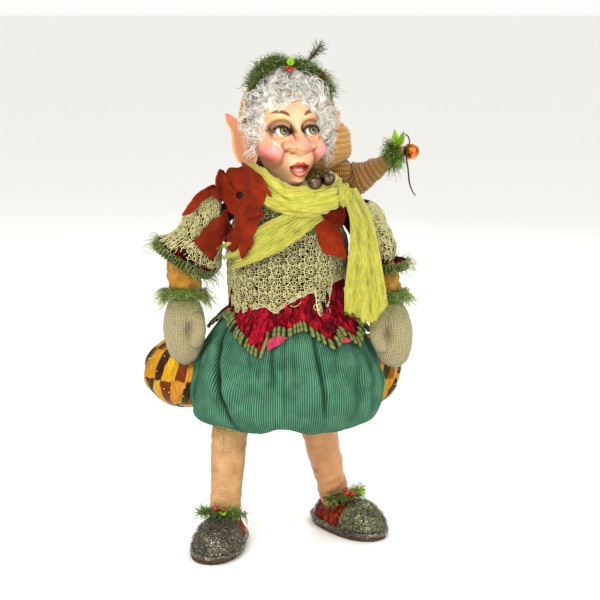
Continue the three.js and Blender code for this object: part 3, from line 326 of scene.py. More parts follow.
def newFinish(name, base="#808080", roughness=0.6, **sockets):  # further inputs by name, with _ for a space
    material = bpy.data.materials.new(name)
    material.use_nodes = True
    inputs = material.node_tree.nodes["Principled BSDF"].inputs
    inputs["Base Color"].default_value = rgba(base)
    inputs["Roughness"].default_value = roughness
    inputs["Specular IOR Level"].default_value = 0.12 if roughness >= 0.5 else 0.45  # cloth hardly mirrors
    for key, value in sockets.items():
        inputs[key.replace("_", " ")].default_value = value
    return material, material.node_tree


def put(tree, kind, out=0, inputs=None, **settings):  # one node: links and values go to its inputs
    node = tree.nodes.new("ShaderNode" + kind)
    for key, value in settings.items():
        setattr(node, key, value)
    for key, value in (inputs or {}).items():
        if isinstance(value, bpy.types.NodeSocket):
            tree.links.new(value, node.inputs[key])
        else:
            node.inputs[key].default_value = value
    return node.outputs[out]


def coat(material, shade, height, depth):  # links a colour, and a bump of that depth in metres
    tree = material.node_tree
    inputs = tree.nodes["Principled BSDF"].inputs
    if shade is not None:
        tree.links.new(shade, inputs["Base Color"])
    tree.links.new(put(tree, "Bump", inputs={"Height": height, "Distance": depth}), inputs["Normal"])
    return material


def maths(tree, kind, a, b=0.0):
    return put(tree, "Math", inputs={0: a, 1: b}, operation=kind)


def times(tree, a, b):
    return maths(tree, "MULTIPLY", a, b)


def plus(tree, a, b):
    return maths(tree, "ADD", a, b)


def mixed(tree, a, first, b, second):  # a times first plus b times second
    return plus(tree, times(tree, a, first), times(tree, b, second))


def noise(tree, where, scale, detail=2.0, roughness=0.5, distortion=0.0):
    return put(tree, "TexNoise", inputs={"Vector": where, "Scale": scale, "Detail": detail,
                                         "Roughness": roughness, "Distortion": distortion})


def ramp(tree, value, stops, kind="LINEAR"):  # stops: (place, colour code or grey)
    node = tree.nodes.new("ShaderNodeValToRGB")
    tree.links.new(value, node.inputs[0])
    node.color_ramp.interpolation = kind
    line = node.color_ramp.elements
    while len(line) < len(stops):
        line.new(0.5)
    for element, (place, shade) in zip(line, stops):
        element.position = place
        element.color = rgba(shade) if isinstance(shade, str) else (shade, shade, shade, 1)
    return node.outputs[0]


def blendTo(tree, share, a, b, kind="MIX"):  # from one colour towards another, or their product
    return put(tree, "Mix", out=2, inputs={0: share, 6: a, 7: b}, data_type="RGBA", blend_type=kind)


def objectWhere(tree):  # the place on the piece in metres
    return put(tree, "TexCoord", out=3)


def uvWhere(tree):  # the place on the flat cloth
    return put(tree, "TexCoord", out=2)


def stretched(tree, where, scale):
    return put(tree, "Mapping", inputs={"Vector": where, "Scale": scale})


def tinted(tree):  # the colour each point of a skin was given
    return put(tree, "Attribute", attribute_name="tint")


def waves(tree, where, size, axis="X", distortion=0.0, detail=0.0):  # bands that repeat every size metres
    return put(tree, "TexWave", wave_type="BANDS", bands_direction=axis, inputs={
        "Vector": where, "Scale": 2 * math.pi / 20 / size, "Distortion": distortion, "Detail": detail})


def weave(tree, where, thread):  # the product of two crossed waves
    return times(tree, waves(tree, where, thread, "X"), waves(tree, where, thread, "Y"))


def plainFinish(name, code, roughness, grain, detail, depth, **sockets):  # one colour, with a fine grain
    material, tree = newFinish(name, code, roughness, **sockets)
    return coat(material, None, noise(tree, objectWhere(tree), grain, detail), depth)


def paintedFinish(name, roughness, mottle=0.05, grain=900, depth=0.00005, **sockets):
    # colour from the piece's tint, slightly mottled
    material, tree = newFinish(name, roughness=roughness, **sockets)
    where = objectWhere(tree)
    spots = ramp(tree, noise(tree, where, grain / 4, 4), [(0.3, 1 - 3 * mottle), (0.7, 1.0)])
    shade = blendTo(tree, 1.0, tinted(tree), spots, "MULTIPLY")
    return coat(material, shade, noise(tree, where, grain, 3), depth)


def clothFinish(name, dark, light, roughness, thread, depth, sheen, patch):
    # plain weave on the piece's uv, with broad colour patches; the colour follows the threads, so the gaps
    # between them are painted shade
    material, tree = newFinish(name, roughness=roughness, Sheen_Weight=sheen)
    threads = weave(tree, uvWhere(tree), thread)
    shade = mixed(tree, threads, 0.35, noise(tree, objectWhere(tree), patch, 4, 0.6), 0.8)
    return coat(material, ramp(tree, shade, [(0.2, dark), (0.75, light)]), threads, depth)


def corduroyFinish(wale):
    # a ridge every wale, broad patches, and dark specks; the colour follows the ridges, so between them is
    # painted shade, and the tint is painted shade in the folds
    material, tree = newFinish("corduroy", roughness=0.85, Sheen_Weight=0.12, Sheen_Roughness=0.4,
                               Sheen_Tint=rgba("#6fb394"))
    ridge = waves(tree, uvWhere(tree), wale, "X", 0.4, 2)
    shade = mixed(tree, ridge, 0.5, noise(tree, objectWhere(tree), 45, 5, 0.65), 0.7)
    cloth = ramp(tree, shade, [(0.2, "#243f2f"), (0.6, "#46745e"), (0.9, "#6b967c")])
    specks = ramp(tree, noise(tree, objectWhere(tree), 260, 1), [(0.72, 0.0), (0.76, 1.0)])
    spotted = blendTo(tree, times(tree, specks, 0.7), cloth, rgba("#4f4a2c"))
    return coat(material, blendTo(tree, 1.0, spotted, tinted(tree), "MULTIPLY"), ridge, 0.0006)


def crushedFinish(name, dark, mid, light, shaded=False):
    # crushed velvet: the pile lies this way and that; its pale patches with hard, wandering edges are painted
    # sheen
    material, tree = newFinish(name, roughness=0.5, Sheen_Weight=0.12, Sheen_Roughness=0.3,
                               Sheen_Tint=rgba(mid))
    where = stretched(tree, objectWhere(tree), (1, 1, 0.45))
    lay = noise(tree, where, 110, 5, 0.6, 1.2)
    cloth = ramp(tree, lay, [(0.36, dark), (0.52, mid), (0.6, light), (0.66, mid)])
    if shaded:  # the piece's tint is painted shade where lace lies over the velvet
        cloth = blendTo(tree, 1.0, cloth, tinted(tree), "MULTIPLY")
    return coat(material, cloth, plus(tree, lay, times(tree, noise(tree, where, 1400, 2), 0.15)), 0.0012)


def suedeFinish():
    # broad stains under a fine nap
    material, tree = newFinish("suede", roughness=0.8, Sheen_Weight=0.05)
    where = objectWhere(tree)
    shade = mixed(tree, noise(tree, where, 40, 5, 0.6), 0.7, noise(tree, where, 700, 4, 0.7), 0.4)
    return coat(material, ramp(tree, shade, [(0.3, "#4d1608"), (0.55, "#7f2b11"), (0.8, "#a04019")]),
                shade, 0.0008)


def knitFinish(name, dark, light, stitch, rowHigh=0.8):
    # columns a stitch wide times rows rowHigh stitches high, which rise in the middle of each column; the
    # colour follows their height, so the hollows between stitches are painted shade
    material, tree = newFinish(name, roughness=0.9, Sheen_Weight=0.4)
    where = uvWhere(tree)
    column = waves(tree, where, stitch)
    upward = put(tree, "SeparateXYZ", out=1, inputs={0: where})
    shifted = put(tree, "CombineXYZ", inputs={1: plus(tree, upward, times(tree, column, 0.35 * stitch))})
    row = waves(tree, shifted, stitch * rowHigh, "Y")
    height = times(tree, plus(tree, column, 0.3), plus(tree, row, 0.2))
    shade = mixed(tree, height, 0.6, noise(tree, objectWhere(tree), 500, 3, 0.7), 0.5)
    return coat(material, ramp(tree, shade, [(0.15, dark), (0.9, light)]), height, stitch * 0.4)


def stripedFinish():
    # strips of satin sewn side by side on the bias: colours change in bands along u, moved on in each row
    material, tree = newFinish("striped_satin", roughness=0.24, Anisotropic=0.5, Metallic=0.55)
    where = uvWhere(tree)
    wobble = noise(tree, where, 12, 2)
    across, upward = (put(tree, "SeparateXYZ", out=i, inputs={0: where}) for i in (0, 1))
    row = maths(tree, "FLOOR", times(tree, plus(tree, upward, times(tree, wobble, 0.05)), 3.6))
    sideways = plus(tree, plus(tree, across, times(tree, upward, 0.35)), times(tree, wobble, 0.03))
    place = maths(tree, "FRACT", plus(tree, sideways, times(tree, row, 0.16)))
    strips = ramp(tree, place, [(0.0, "#d9a11a"), (0.2, "#4d2a0d"), (0.34, "#e8b524"), (0.5, "#8a450f"),
                                (0.62, "#e0a23a"), (0.8, "#4c4714"), (0.9, "#a3641a")], "CONSTANT")
    crease = noise(tree, stretched(tree, where, (14, 2, 1)), 4, 4, 0.6)
    # the creases darken the strips: painted shade
    shade = blendTo(tree, 0.85, strips, ramp(tree, crease, [(0.3, 0.4), (0.7, 0.95)]), "MULTIPLY")
    return coat(material, shade, crease, 0.0015)


def glitterFinish(name, dark, mid, light):
    # flakes: each cell of a fine Voronoi has its own colour, and some shine
    material, tree = newFinish(name, roughness=0.35, Coat_Weight=0.3)
    where = objectWhere(tree)
    cell = put(tree, "TexVoronoi", out=1, inputs={"Vector": where, "Scale": 900.0})
    grey = put(tree, "RGBToBW", inputs={0: cell})
    shade = mixed(tree, grey, 0.7, noise(tree, where, 60, 3), 0.4)
    base = ramp(tree, shade, [(0.25, dark), (0.5, mid), (0.74, light), (0.95, "#f0e6d0")])
    shine = ramp(tree, grey, [(0.4, 0.1), (0.7, 0.8)])
    tree.links.new(shine, tree.nodes["Principled BSDF"].inputs["Metallic"])
    return coat(material, blendTo(tree, 0.25, base, cell, "OVERLAY"), grey, 0.0006)


def metalFinish(name, dark, light, roughness):  # darker where it isn't rubbed
    material, tree = newFinish(name, roughness=roughness, Metallic=1.0)
    wear = noise(tree, objectWhere(tree), 180, 4, 0.6)
    return coat(material, ramp(tree, wear, [(0.3, dark), (0.65, light)]), wear, 0.0002)


def gauzeFinish():
    # crinkled gauze: long creases along v, thin enough for light to come through; the colour follows the
    # creases, so their hollows are painted shade
    material, tree = newFinish("gauze", roughness=0.9, Sheen_Weight=0.35, Subsurface_Weight=0.15,
                               Subsurface_Scale=0.004)
    where = uvWhere(tree)
    creases = noise(tree, stretched(tree, where, (300, 60, 1)), 1, 3, 0.55, 1.2)
    shade = mixed(tree, creases, 0.85, weave(tree, where, 0.0011), 0.2)
    return coat(material, ramp(tree, shade, [(0.22, "#7f8028"), (0.42, "#b0ad48"), (0.8, "#cac774")]),
                shade, 0.0009)


crimson = ("#38020a", "#7c0619", "#b31c3a")
finish = {
    "skin": paintedFinish("resin_skin", 0.3, 0.03, 700, 0.00004, Coat_Weight=0.6, Coat_Roughness=0.14,
                          Subsurface_Weight=0.12, Subsurface_Scale=0.003),
    "skinPlain": plainFinish("resin_skin_plain", "#e3a873", 0.4, 500, 3, 0.0001, Coat_Weight=0.3),
    "eye": paintedFinish("eye", 0.3, 0.02, 300, 0.000005, Coat_Weight=0.3, Coat_Roughness=0.03),
    # cloths: dark and light colour, roughness, thread and depth in metres, sheen, patches to the metre
    "mesh": clothFinish("stocking_mesh", "#a97f52", "#dcb98d", 0.55, 0.0011, 0.0003, 0.1, 60),
    "satinLeg": clothFinish("stocking_satin", "#a5714a", "#c99c70", 0.3, 0.0006, 0.00006, 0.1, 30),
    "velvet": crushedFinish("velvet", *crimson),
    "velvetShaded": crushedFinish("velvet_shaded", *crimson, True),
    # a darker copy of the crimson velvet: painted shade for velvet that lies under lace and inside the
    # sleeves
    "velvetInShade": crushedFinish("velvet_in_shade", "#1c0407", "#430c13", "#7d1c2a"),
    "pink": clothFinish("satin_pink", "#8c1033", "#c9365c", 0.34, 0.0006, 0.00005, 0.3, 70),
    "trim": paintedFinish("olive_trim", 0.75, 0.08, 1200, 0.0002),
    "lace": paintedFinish("lace", 0.85, 0.1, 1500, 0.0003),
    "suede": suedeFinish(),
    "gauze": gauzeFinish(),
    "corduroy": corduroyFinish(0.0023),
    "striped": stripedFinish(),
    "mustard": clothFinish("mustard", "#7d5410", "#d8a233", 0.42, 0.0011, 0.0004, 0.2, 120),
    "moss": paintedFinish("moss", 0.7, 0.1, 900, 0.0002),
    "mitten": knitFinish("knit", "#6b6240", "#d6ca9c", 0.003),
    "hatKnit": knitFinish("hat_knit", "#94692c", "#e0b164", 0.0022, 3),
    "tailKnit": knitFinish("tail_knit", "#67451a", "#bd9150", 0.0022, 3),
    "mohair": paintedFinish("mohair", 0.75, 0.05, 900, 0.0003, Sheen_Weight=0.4),
    "glitter": glitterFinish("glitter", "#17141b", "#453f46", "#8a7a5e"),
    "glitterGreen": glitterFinish("glitter_green", "#1e211d", "#545745", "#a29f70"),
    "redVelvet": crushedFinish("red_velvet", "#48120a", "#7a2413", "#a3452c"),
    "copper": metalFinish("copper", "#8c4416", "#e08a4a", 0.2),
    "bronze": metalFinish("bronze", "#3a3029", "#83715f", 0.34),
    "bark": clothFinish("twig", "#3b2a20", "#80624d", 0.85, 0.001, 0.0006, 0.1, 300),
    "wire": metalFinish("wire", "#6f7276", "#a3a6a9", 0.35),
    "berry": paintedFinish("berry", 0.18, 0.05, 500, 0.00003, Coat_Weight=0.6, Coat_Roughness=0.08),
    "muslin": clothFinish("muslin", "#b3a486", "#e2d7c0", 0.9, 0.0007, 0.0003, 0.3, 60),
    "floor": plainFinish("floor", "#f4f3f1", 0.9, 200, 2, 0.00005),
}
print("materials made:", len(finish))


# camera, floor and light
view = {"from": (15, -1600, 640), "pitch": 12, "lens": 83.16}
scene = bpy.context.scene


def show(name, data):  # an object in the scene
    shown = bpy.data.objects.new(name, data)
    scene.collection.objects.link(shown)
    return shown


camera = show("camera", bpy.data.cameras.new("camera"))
camera.location = (array(view["from"]) + frameShift) / 1000
camera.rotation_euler = (math.radians(90 - view["pitch"]), 0, 0)
camera.data.lens, camera.data.sensor_width = view["lens"], 36
scene.camera = camera

floorMesh = bpy.data.meshes.new("floor")
floorMesh.from_pydata([(-60, -3, 0), (60, -3, 0), (60, 90, 0), (-60, 90, 0)], [], [(0, 1, 2, 3)])
floorMesh.materials.append(finish["floor"])
show("floor", floorMesh)

lamps = [("key", (-0.9, -1.5, 1.7), 1.2, 27), ("fill", (1.5, -1.2, 0.9), 1.4, 12),
         ("back", (0.5, 1.3, 1.5), 1.2, 16), ("low", (0.1, -1.7, 0.25), 1.0, 8)]
for lampName, lampAt, lampSize, lampPower in lamps:
    lamp = show(lampName, bpy.data.lights.new(lampName, "AREA"))
    lamp.data.size, lamp.data.energy = lampSize, lampPower
    lamp.location = lampAt
    aim = array([0, 0, 0.3]) - array(lampAt)
    lamp.rotation_euler = (math.atan2(math.hypot(aim[0], aim[1]), -aim[2]), 0, math.atan2(-aim[0], aim[1]))
world = bpy.data.worlds.new("studio")
world.use_nodes = True
background = world.node_tree.nodes["Background"].inputs
background["Color"].default_value = rgba("#fbfaf8")
background["Strength"].default_value = 1.03
scene.world = world
scene.view_settings.view_transform = "Standard"
scene.view_settings.gamma = 0.82  # the photo's darks are deep

# torso and the layers on it
torsoY = 4
torsoWidths = [(209, 34), (236, 66), (288, 63), (368, 64), (405, 54), (440, 23)]
torsoDepths = [(209, 26), (236, 44), (288, 43), (368, 45), (405, 38), (440, 23)]
bloomers = {"top": 292, "widest": 184, "bottom": 151, "half": (114, 79), "hem": (84, 56), "taper": 2.2,
            "seamRise": 12, "seamX": -4, "columns": 420}


def torsoPoint(angle, height, out=0.0):  # an ellipse whose half-axes ease with the height
    return stack([(eased(torsoWidths, height) + out) * cos(angle),
                  torsoY + (eased(torsoDepths, height) + out) * sin(angle), height + 0 * angle], -1)


def balloon(height, wide, hem, waist):  # round below the widest place, tapering to the waist above it
    b = bloomers
    below = clip((b["widest"] - height) / (b["widest"] - b["bottom"]), 0, 1)
    above = clip((height - b["widest"]) / (b["top"] - b["widest"]), 0, 1)
    return np.where(below > 0, hem + (wide - hem) * sqrt(1 - below ** 2),
                    waist + (wide - waist) * (1 - above ** b["taper"]))


# folds of the bloomers: angle at the top and bottom in degrees, width, depth, and the heights they span
bloomerFolds = [
    (-151, -123, 4.2, 9.5, 152, 285), (-119, -113, 2.6, 4.4, 226, 268), (-111, -107, 2.2, 3.6, 214, 262),
    (-102, -97.5, 2.2, 4.6, 210, 268), (-92, -91.6, 1.5, 4.0, 170, 264), (-86, -85, 2.6, 1.8, 205, 262),
    (-70, -67, 3.0, 8.0, 172, 276), (-56, -60, 4, 2.6, 190, 262), (-132, -128, 4, 3.0, 215, 262),
    (-38, -45, 5, 4.0, 160, 255), (-22, -30, 6, 3.2, 165, 250), (-168, -164, 5, 4.5, 165, 262),
    (15, 12, 6, 3.5, 165, 262), (40, 42, 6, 3.6, 160, 262), (66, 64, 6, 3.2, 165, 262),
    (92, 92, 4, 3.4, 158, 265), (118, 120, 6, 3.4, 165, 262), (145, 142, 6, 3.6, 160, 262),
    (168, 170, 6, 3.0, 165, 255)]


def foldOf(angle, height):  # each fold is a dent with a swell beside it, deepest halfway down its span
    total = 0
    for top, bottom, width, depth, low, high in bloomerFolds:
        share = clip((high - height) / (high - low), 0, 1)
        middle = np.radians(lerp(top, bottom, share))
        off = wrapped(angle - middle)
        dent = hump(off, 0, math.radians(width)) - 0.6 * hump(off, 0, math.radians(2.4 * width))
        total = total - 1.35 * depth * dent * sin(math.pi * clip(share, 0.02, 0.98)) ** 0.6
    return total + 6 * hump(wrapped(angle + 2.72), 0, 0.3) * hump(height, 162, 15)  # the right low corner


def bloomersPoint(angle, height, out=0.0):  # an ellipse of balloon-like half-axes, with folds and gathers
    b = bloomers
    share = clip((b["top"] - height) / (b["top"] - b["bottom"]), 0, 1)
    gather = 1.4 * sin(46 * angle + 3 * sin(3 * angle)) * smooth((share - 0.02) / 0.1) * \
        smooth((0.5 - share) / 0.4)
    fold = foldOf(angle, height) + gather + 1.2 * wander(5, 7, 60, angle * 110, height) * smooth(share * 4)
    width = balloon(height, b["half"][0], b["hem"][0], 64) + fold + out
    depth = balloon(height, b["half"][1], b["hem"][1], 44) + fold + out
    return stack([width * cos(angle), torsoY + depth * sin(angle), height + 0 * angle], -1)


def dressedPoint(angle, height, out=0.0):  # the torso above the waist, the bloomers below it
    above = smooth((height - 286) / 10)[..., None]
    return lerp(bloomersPoint(angle, height, out), torsoPoint(angle, height, out), above)


def hemEdge(angle):  # the bloomers' lower edge rises at the middle seam
    across, front = 84 * cos(angle), sin(angle) < 0
    return bloomers["bottom"] + bloomers["seamRise"] * hump(across, bloomers["seamX"], 20) + \
        8 * hump(across, -66, 15) * front


def makeBloomers():
    angle = fan(bloomers["columns"])[None]
    row = down(0, 1, 64)
    height = lerp(bloomers["top"], hemEdge(angle), sin(row * math.pi / 2) ** 0.9)
    outer = bloomersPoint(angle, height)
    # painted shade: the cloth is darkened where its folds are deep
    depth = clip(-foldOf(angle, height) / 5, 0, 1) ** 0.8
    tint = lerp(np.ones(3), array([0.07, 0.1, 0.1]), depth[..., None])
    under = []  # the cloth turns in under the hem and up to the legs
    for inward, rise in ((0.96, -1.6), (0.9, -1.2), (0.8, 1.0), (0.66, 4.5), (0.55, 9)):
        ring = outer[-1:] * [inward, inward, 1] + [0, torsoY * (1 - inward), rise]
        under.append(ring + [0, 0, 1.2] * sin(40 * angle)[..., None] * (1 - inward) * 3)
    points = np.concatenate([outer] + under, 0)
    # each ring turned in under the hem is darker: painted shade under the hem
    tint = np.concatenate([tint] + [tint[-1:] * shade for shade in (0.9, 0.8, 0.6, 0.45, 0.35)], 0)
    skin = gridSkin(points, wrapAcross=True, uvSize=(0.62, 0.19), tint=tint)
    # the lining is dark all over: painted shade inside the bloomers
    lining = np.concatenate([points[-1:], points[-1:] * [0.99, 0.99, 1] + [0, 0, 3],
                             outer[:1] * [0.97, 0.97, 1]], 0)
    inner = gridSkin(lining, wrapAcross=True, uvSize=(0.62, 0.1), tint=np.full(lining.shape, 0.3))
    piece = makePiece("bloomers_cloth", joined(skin, inner), "corduroy", "body",
                      ["bloomers"], flip=True)


makeBloomers()

# hems: degrees round the body and height of each corner, in zigzags
tunic = {"top": 433, "out": 3.6, "hem": [
    (-180, 272), (-163, 292), (-146, 287), (-106.3, 253.5), (-103.7, 274), (-97, 279), (-90.8, 276.5),
    (-77, 284.5), (-57.3, 261), (-53, 266), (-44.2, 275), (-33, 259.5), (-8, 281), (18, 263), (44, 284),
    (70, 263), (95, 284), (121, 263), (147, 284), (180, 272)]}
shawl = {"top": 431, "out": 6.4, "motif": 17.0, "thread": 0.44, "drop": 147, "hem": [
    (-180, 284), (-165, 284), (-150, 285), (-136, 292), (-111.5, 301), (-102, 293), (-84, 308.5),
    (-62, 320.5), (-60.5, 300), (-57, 285), (-51, 285), (-46, 303), (-42, 326), (-20, 330), (10, 303),
    (40, 324), (70, 300), (100, 324), (130, 300), (160, 320), (180, 284)], "fine": 520}


def pointedHem(cut, angle):  # straight from corner to corner
    places, heights = array(cut["hem"], float).T
    return np.interp(np.degrees(wrapped(np.asarray(angle))), places, heights)


def makeTunic():
    angle = fan(330)[None]
    row = down(0, 1, 62)
    height = lerp(tunic["top"], pointedHem(tunic, angle), row)
    flare = 2.0 * smooth((row - 0.7) / 0.3)
    crush = 0.9 * wander(11, 9, 22, angle * 66, height) + \
        2.2 * row ** 3 * wander(12, 9, 15, angle * 66, height * 0.25)  # soft upright folds near the hem
    points = dressedPoint(angle, height, tunic["out"] - 1.2 + flare + crush)
    # painted shade: the velvet darkens where the lace lies over it
    laceShade = smooth((height - pointedHem(shawl, angle) - 2) / 8)
    tint = lerp(np.ones(3), array([0.3, 0.26, 0.3]), laceShade[..., None])
    cloth = thick(points, 1.4, (0.42, 0.16), wrapAcross=True, tint=tint)
    piece = makePiece("tunic_cloth", cloth, "velvetShaded", "body", ["velvet_tunic"], flip=True)


def ruched(ruffle, across):  # olive ribbon: painted shade between the ruffles, and darker along its stitched middle
    light = smooth(0.42 + 0.75 * ruffle) * (1 - 0.45 * hump(across, 0, 0.22))
    return lerp(colour("#262d15"), colour("#838d57"), light[..., None])


def makeHemTrim():
    # a ruched ribbon sewn on the zigzag hem: ruffles run across it, and its edges are pinched
    angle = fan(1180)[None]
    across = down(-1, 1, 12)
    ruffle = sin(96 * angle + 2 * sin(9 * angle) + 1.5 * sin(23 * angle + 1))
    height = pointedHem(tunic, angle) - 3.0 - across * (4.4 + 0.5 * ruffle)
    out = tunic["out"] + 2.2 + (2.0 + 1.1 * ruffle) * clip(1 - across ** 4, 0, 1) - \
        0.6 * hump(across, 0, 0.25)
    points = dressedPoint(angle, height, out)
    ribbon = thick(points, 1.0, (1.2, 0.012), wrapAcross=True, tint=ruched(ruffle, across))
    piece = makePiece("hem_ruching", ribbon, "trim", "body", ["tunic_hem_trim"], flip=True)


makeTunic()
makeHemTrim()


def laceLines(width, height, pitch):  # groups of flat lines, whether they are closed, and their thickness
    # crochet: big pinwheels of long rays round a small ring, linked, and little wheels in the gaps
    nx, ny = round(width / pitch), round(height / pitch)
    wheel = lambda n, r0, r1, twist: stack(
        [circle(fan(n) + twist * t, lerp(r0, r1, t) * pitch) for t in (0, 0.5, 1)], 1)
    ring = lambda r, n, wave=0.0: circle(fan(n), (r + wave * cos(14 * fan(n)))[:, None] * pitch)
    link = stack([circle(fan(8) + 0.12, r * pitch) for r in (0.44, 0.52, 0.6)], 1)
    cx, cy = np.meshgrid((np.arange(nx) + 0.5) * width / nx, (np.arange(-1, ny + 1) + 0.5) * height / ny)
    uneven = stack([sin(3.1 * cy + cx), cos(2.3 * cx + cy)], -1).reshape(-1, 2)
    centre = stack([cx.ravel(), cy.ravel()], 1) + 0.06 * pitch * uneven
    corner = centre + [0.5 * width / nx, 0.5 * height / ny]
    place = lambda lines, at: (lines[None] + at[:, None, None]).reshape(-1, lines.shape[1], 2)
    loops = lambda line, at: line[None] + at[:, None]
    return ((place(wheel(13, 0.1, 0.44, 0.25), centre), False, 1.4), (place(link, centre), False, 1.4),
            (loops(ring(0.11, 14), centre), True, 1.5), (loops(ring(0.45, 28, 0.02), centre), True, 1.5),
            (place(wheel(8, 0.06, 0.2, 0.2), corner), False, 1.4), (loops(ring(0.22, 14), corner), True, 1.4))


def laceSkin(width, height, pitch, onto, thread, keep):
    # the net's flat lines are laid on a surface: onto(u, v) gives the point, keep(u, v) what is cut off
    skins = []
    for lines, closed, size in laceLines(width, height, pitch):
        inside = keep(lines[..., 0].mean(1), lines[..., 1].mean(1))
        lines = lines[inside]
        skins.append(strandSkin(onto(lines[..., 0], lines[..., 1]), thread * size, 3, closed=closed,
                                tint=np.tile(colour("#d6d2a0"), (len(lines), 1))))
    return joined(*skins)


def makeShawl():
    girth, drop = 408.0, float(shawl["drop"])
    onto = lambda u, v: torsoPoint(-math.pi / 2 + 2 * math.pi * u / girth, shawl["top"] - v,
                                   shawl["out"] + 0.5 * wander(3, 6, 30, u, v))
    hem = lambda u: shawl["top"] - pointedHem(shawl, -math.pi / 2 + 2 * math.pi * u / girth)
    skin = laceSkin(girth, drop, shawl["motif"], onto, shawl["thread"], lambda u, v: (v > 1) & (v < hem(u)))
    angle = fan(shawl["fine"])
    scallops = pointedHem(shawl, angle) + 1.2 * np.abs(sin(65 * angle))
    edges = [strandSkin(torsoPoint(angle, height, shawl["out"])[None], radius, 4, closed=True,
                        tint=colour("#d3d2ab")[None])
             for height, radius in ((shawl["top"] + 0 * angle, 0.9), (scallops, 0.8), (scallops + 3, 0.64))]
    piece = makePiece("shawl_lace", joined(skin, *edges), "lace", "body", ["lace_shawl"])


makeShawl()
print("clothes of the body made")

# side drapes of striped satin, satin petals
drapes = {"half": {"right": (50, 36, 45), "left": (37, 34, 44)},
          "centre": {"right": (-124, 33, 205), "left": (100, 42, 204)}, "folds": 9, "beads": 90}


def drapePoint(side, polar, turn):  # a puffed ellipsoid; satin strips twist round it and crease
    hx, hy, hz = drapes["half"][side]
    cx, cy, cz = drapes["centre"][side]
    swirl = turn + 0.6 * cos(polar) * outward[side]
    fold = 1 + 0.045 * cos(drapes["folds"] * swirl) * sin(polar) + \
        0.012 * cos(27 * swirl + 3 * polar) - 0.05 * hump(sin(polar), 0, 0.4)
    return stack([cx + hx * sin(polar) * fold * cos(turn),
                  cy + hy * sin(polar) * fold * sin(turn),
                  cz + hz * cos(polar) * (1 + 0.02 * cos(9 * turn))], -1)


def makeDrape(side):
    polar = down(0.04, math.pi - 0.04, 78)
    turn = fan(168)[None]
    cloth = makePiece("drape_satin_" + side, shell(drapePoint(side, polar, turn), uvSize=(3, 1)), "striped",
                      "body", ["side_drape_" + side], flip=True)
    rng = seeded(31)
    n = drapes["beads"]
    at = drapePoint(side, rng.uniform(0.5, 2.7, n), rng.uniform(0, 2 * math.pi, n))
    at = at + 1.1 * unit(at - array(drapes["centre"][side]))
    beads = [ballSkin(p, [0.95] * 3, 3, 6, tint=colour("#e6cf8a")) for p in at]
    makePiece("drape_beads_" + side, joined(*beads), "berry", "body")


petals = {"right": [(-106, 275), (-88.5, 269), (-103, 253)], "left": [(-49, 272), (-39.5, 259), (-55, 258)]}


def makePetal(side):
    # a folded triangle of satin between three corners given as degrees and height; v runs to the low corner
    u = linspace(0, 1, 21)[None, :, None]
    v = linspace(0, 0.97, 21)[:, None, None]
    a, b, c = (array(corner, float) for corner in petals[side])
    flat = lerp(lerp(a, b, u), c, v)
    fold = 1.0 * cos(9 * u + 2 * v) * (1 - v)
    points = bloomersPoint(np.radians(flat[..., 0]), flat[..., 1], 4.2 + fold[..., 0])
    piece = makePiece("petal_satin_" + side, thick(points, 0.8, (0.03, 0.02)), "pink", "body",
                      ["satin_petal_" + side], flip=True)


for side in sides:
    makeDrape(side)
    makePetal(side)
print("drapes and petals made")


# legs in stockings, and shoes
legs = {"radii": (22, 21.5, 20.5, 18.8, 18.2), "ankleHeight": 27, "toeOut": {"right": -10, "left": 41},
        "ankle": {"right": (-77, 0), "left": (60, 58)}}


def makeLeg(side):
    hip, knee = hipAt[side], kneeAt[side]
    ankle = array([*legs["ankle"][side], legs["ankleHeight"]])
    path = [hip, lerp(hip, knee, 0.6), knee, lerp(knee, ankle, 0.5), ankle]
    if side == "right":  # fine level gathers all the way down
        push = lambda s, a: 0.4 * sin(380 * s + 1.5 * sin(3 * a)) + \
            0.25 * wander(7, 6, 9, 150 * s, 3 * a)
    else:  # a few slack creases, deeper at the ankle
        push = lambda s, a: 0.7 * wander(8, 7, 26, 150 * s, 12 * cos(a), 12 * sin(a)) * (0.3 + s) - \
            1.3 * hump(s + 0.02 * sin(2 * a), 0.93, 0.012) - 1.0 * hump(s - 0.02 * sin(a), 0.86, 0.01)
    skin = tubeSkin(path, legs["radii"], 300, 60, up=(0, 1, 0), push=push, uvSize=(0.13, 0.16),
                    domed=(True, False))
    piece = makePiece("stocking_" + side, skin, "mesh" if side == "right" else "satinLeg", None,
                      ["thigh_" + side, "shin_" + side])
    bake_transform(piece)


shoe = {"length": 116, "width": 61, "toe": 38, "heel": 31, "ankleShare": 0.3, "sole": 4,
        "capFrom": {"right": 0.5, "left": 0.6}, "tinsel": 1500, "needles": 520}


def rounded(share, power):  # 0 at heel and toe, 1 halfway
    return sqrt(clip(1 - np.abs(2 * share - 1) ** power, 0, 1))


def footHalf(share):  # half the width, from heel (0) to toe (1)
    return shoe["width"] / 2 * rounded(share, 2.4) * (0.86 + 0.14 * share)


def footRise(share):  # the height over the sole, in the same way
    return lerp(shoe["heel"], shoe["toe"], share) * rounded(share, 3.2)


def inShoe(side, points):  # from the shoe's own place, toe towards -Y, to the doll
    return spun(points, legs["toeOut"][side]) + [*legs["ankle"][side], 0]


def shoePoint(share, turn, out=0.0):  # turn 0 and pi are the two edges at the sole, pi/2 is the top
    half, rise = footHalf(share) + out, footRise(share) + out
    return stack([half * cos(turn) * np.ones_like(share),
                  shoe["length"] * (shoe["ankleShare"] - share) + 0 * turn,
                  shoe["sole"] + 0.5 + clip(sin(turn), 0, 1) * rise], -1)


def shoeShell(side, low, high, out, lumps, rows=60, cols=90):
    share = down(low, high, rows)
    turn = linspace(-0.02, math.pi + 0.02, cols)[None]
    seam = clip(np.minimum(share - low, 0.02) / 0.02, 0, 1) if low > 0.1 else 1
    lump = lumps * wander(23, 8, 9, shoe["length"] * share, 30 * cos(turn), 30 * sin(turn))
    return inShoe(side, shoePoint(share, turn, out * seam + lump))


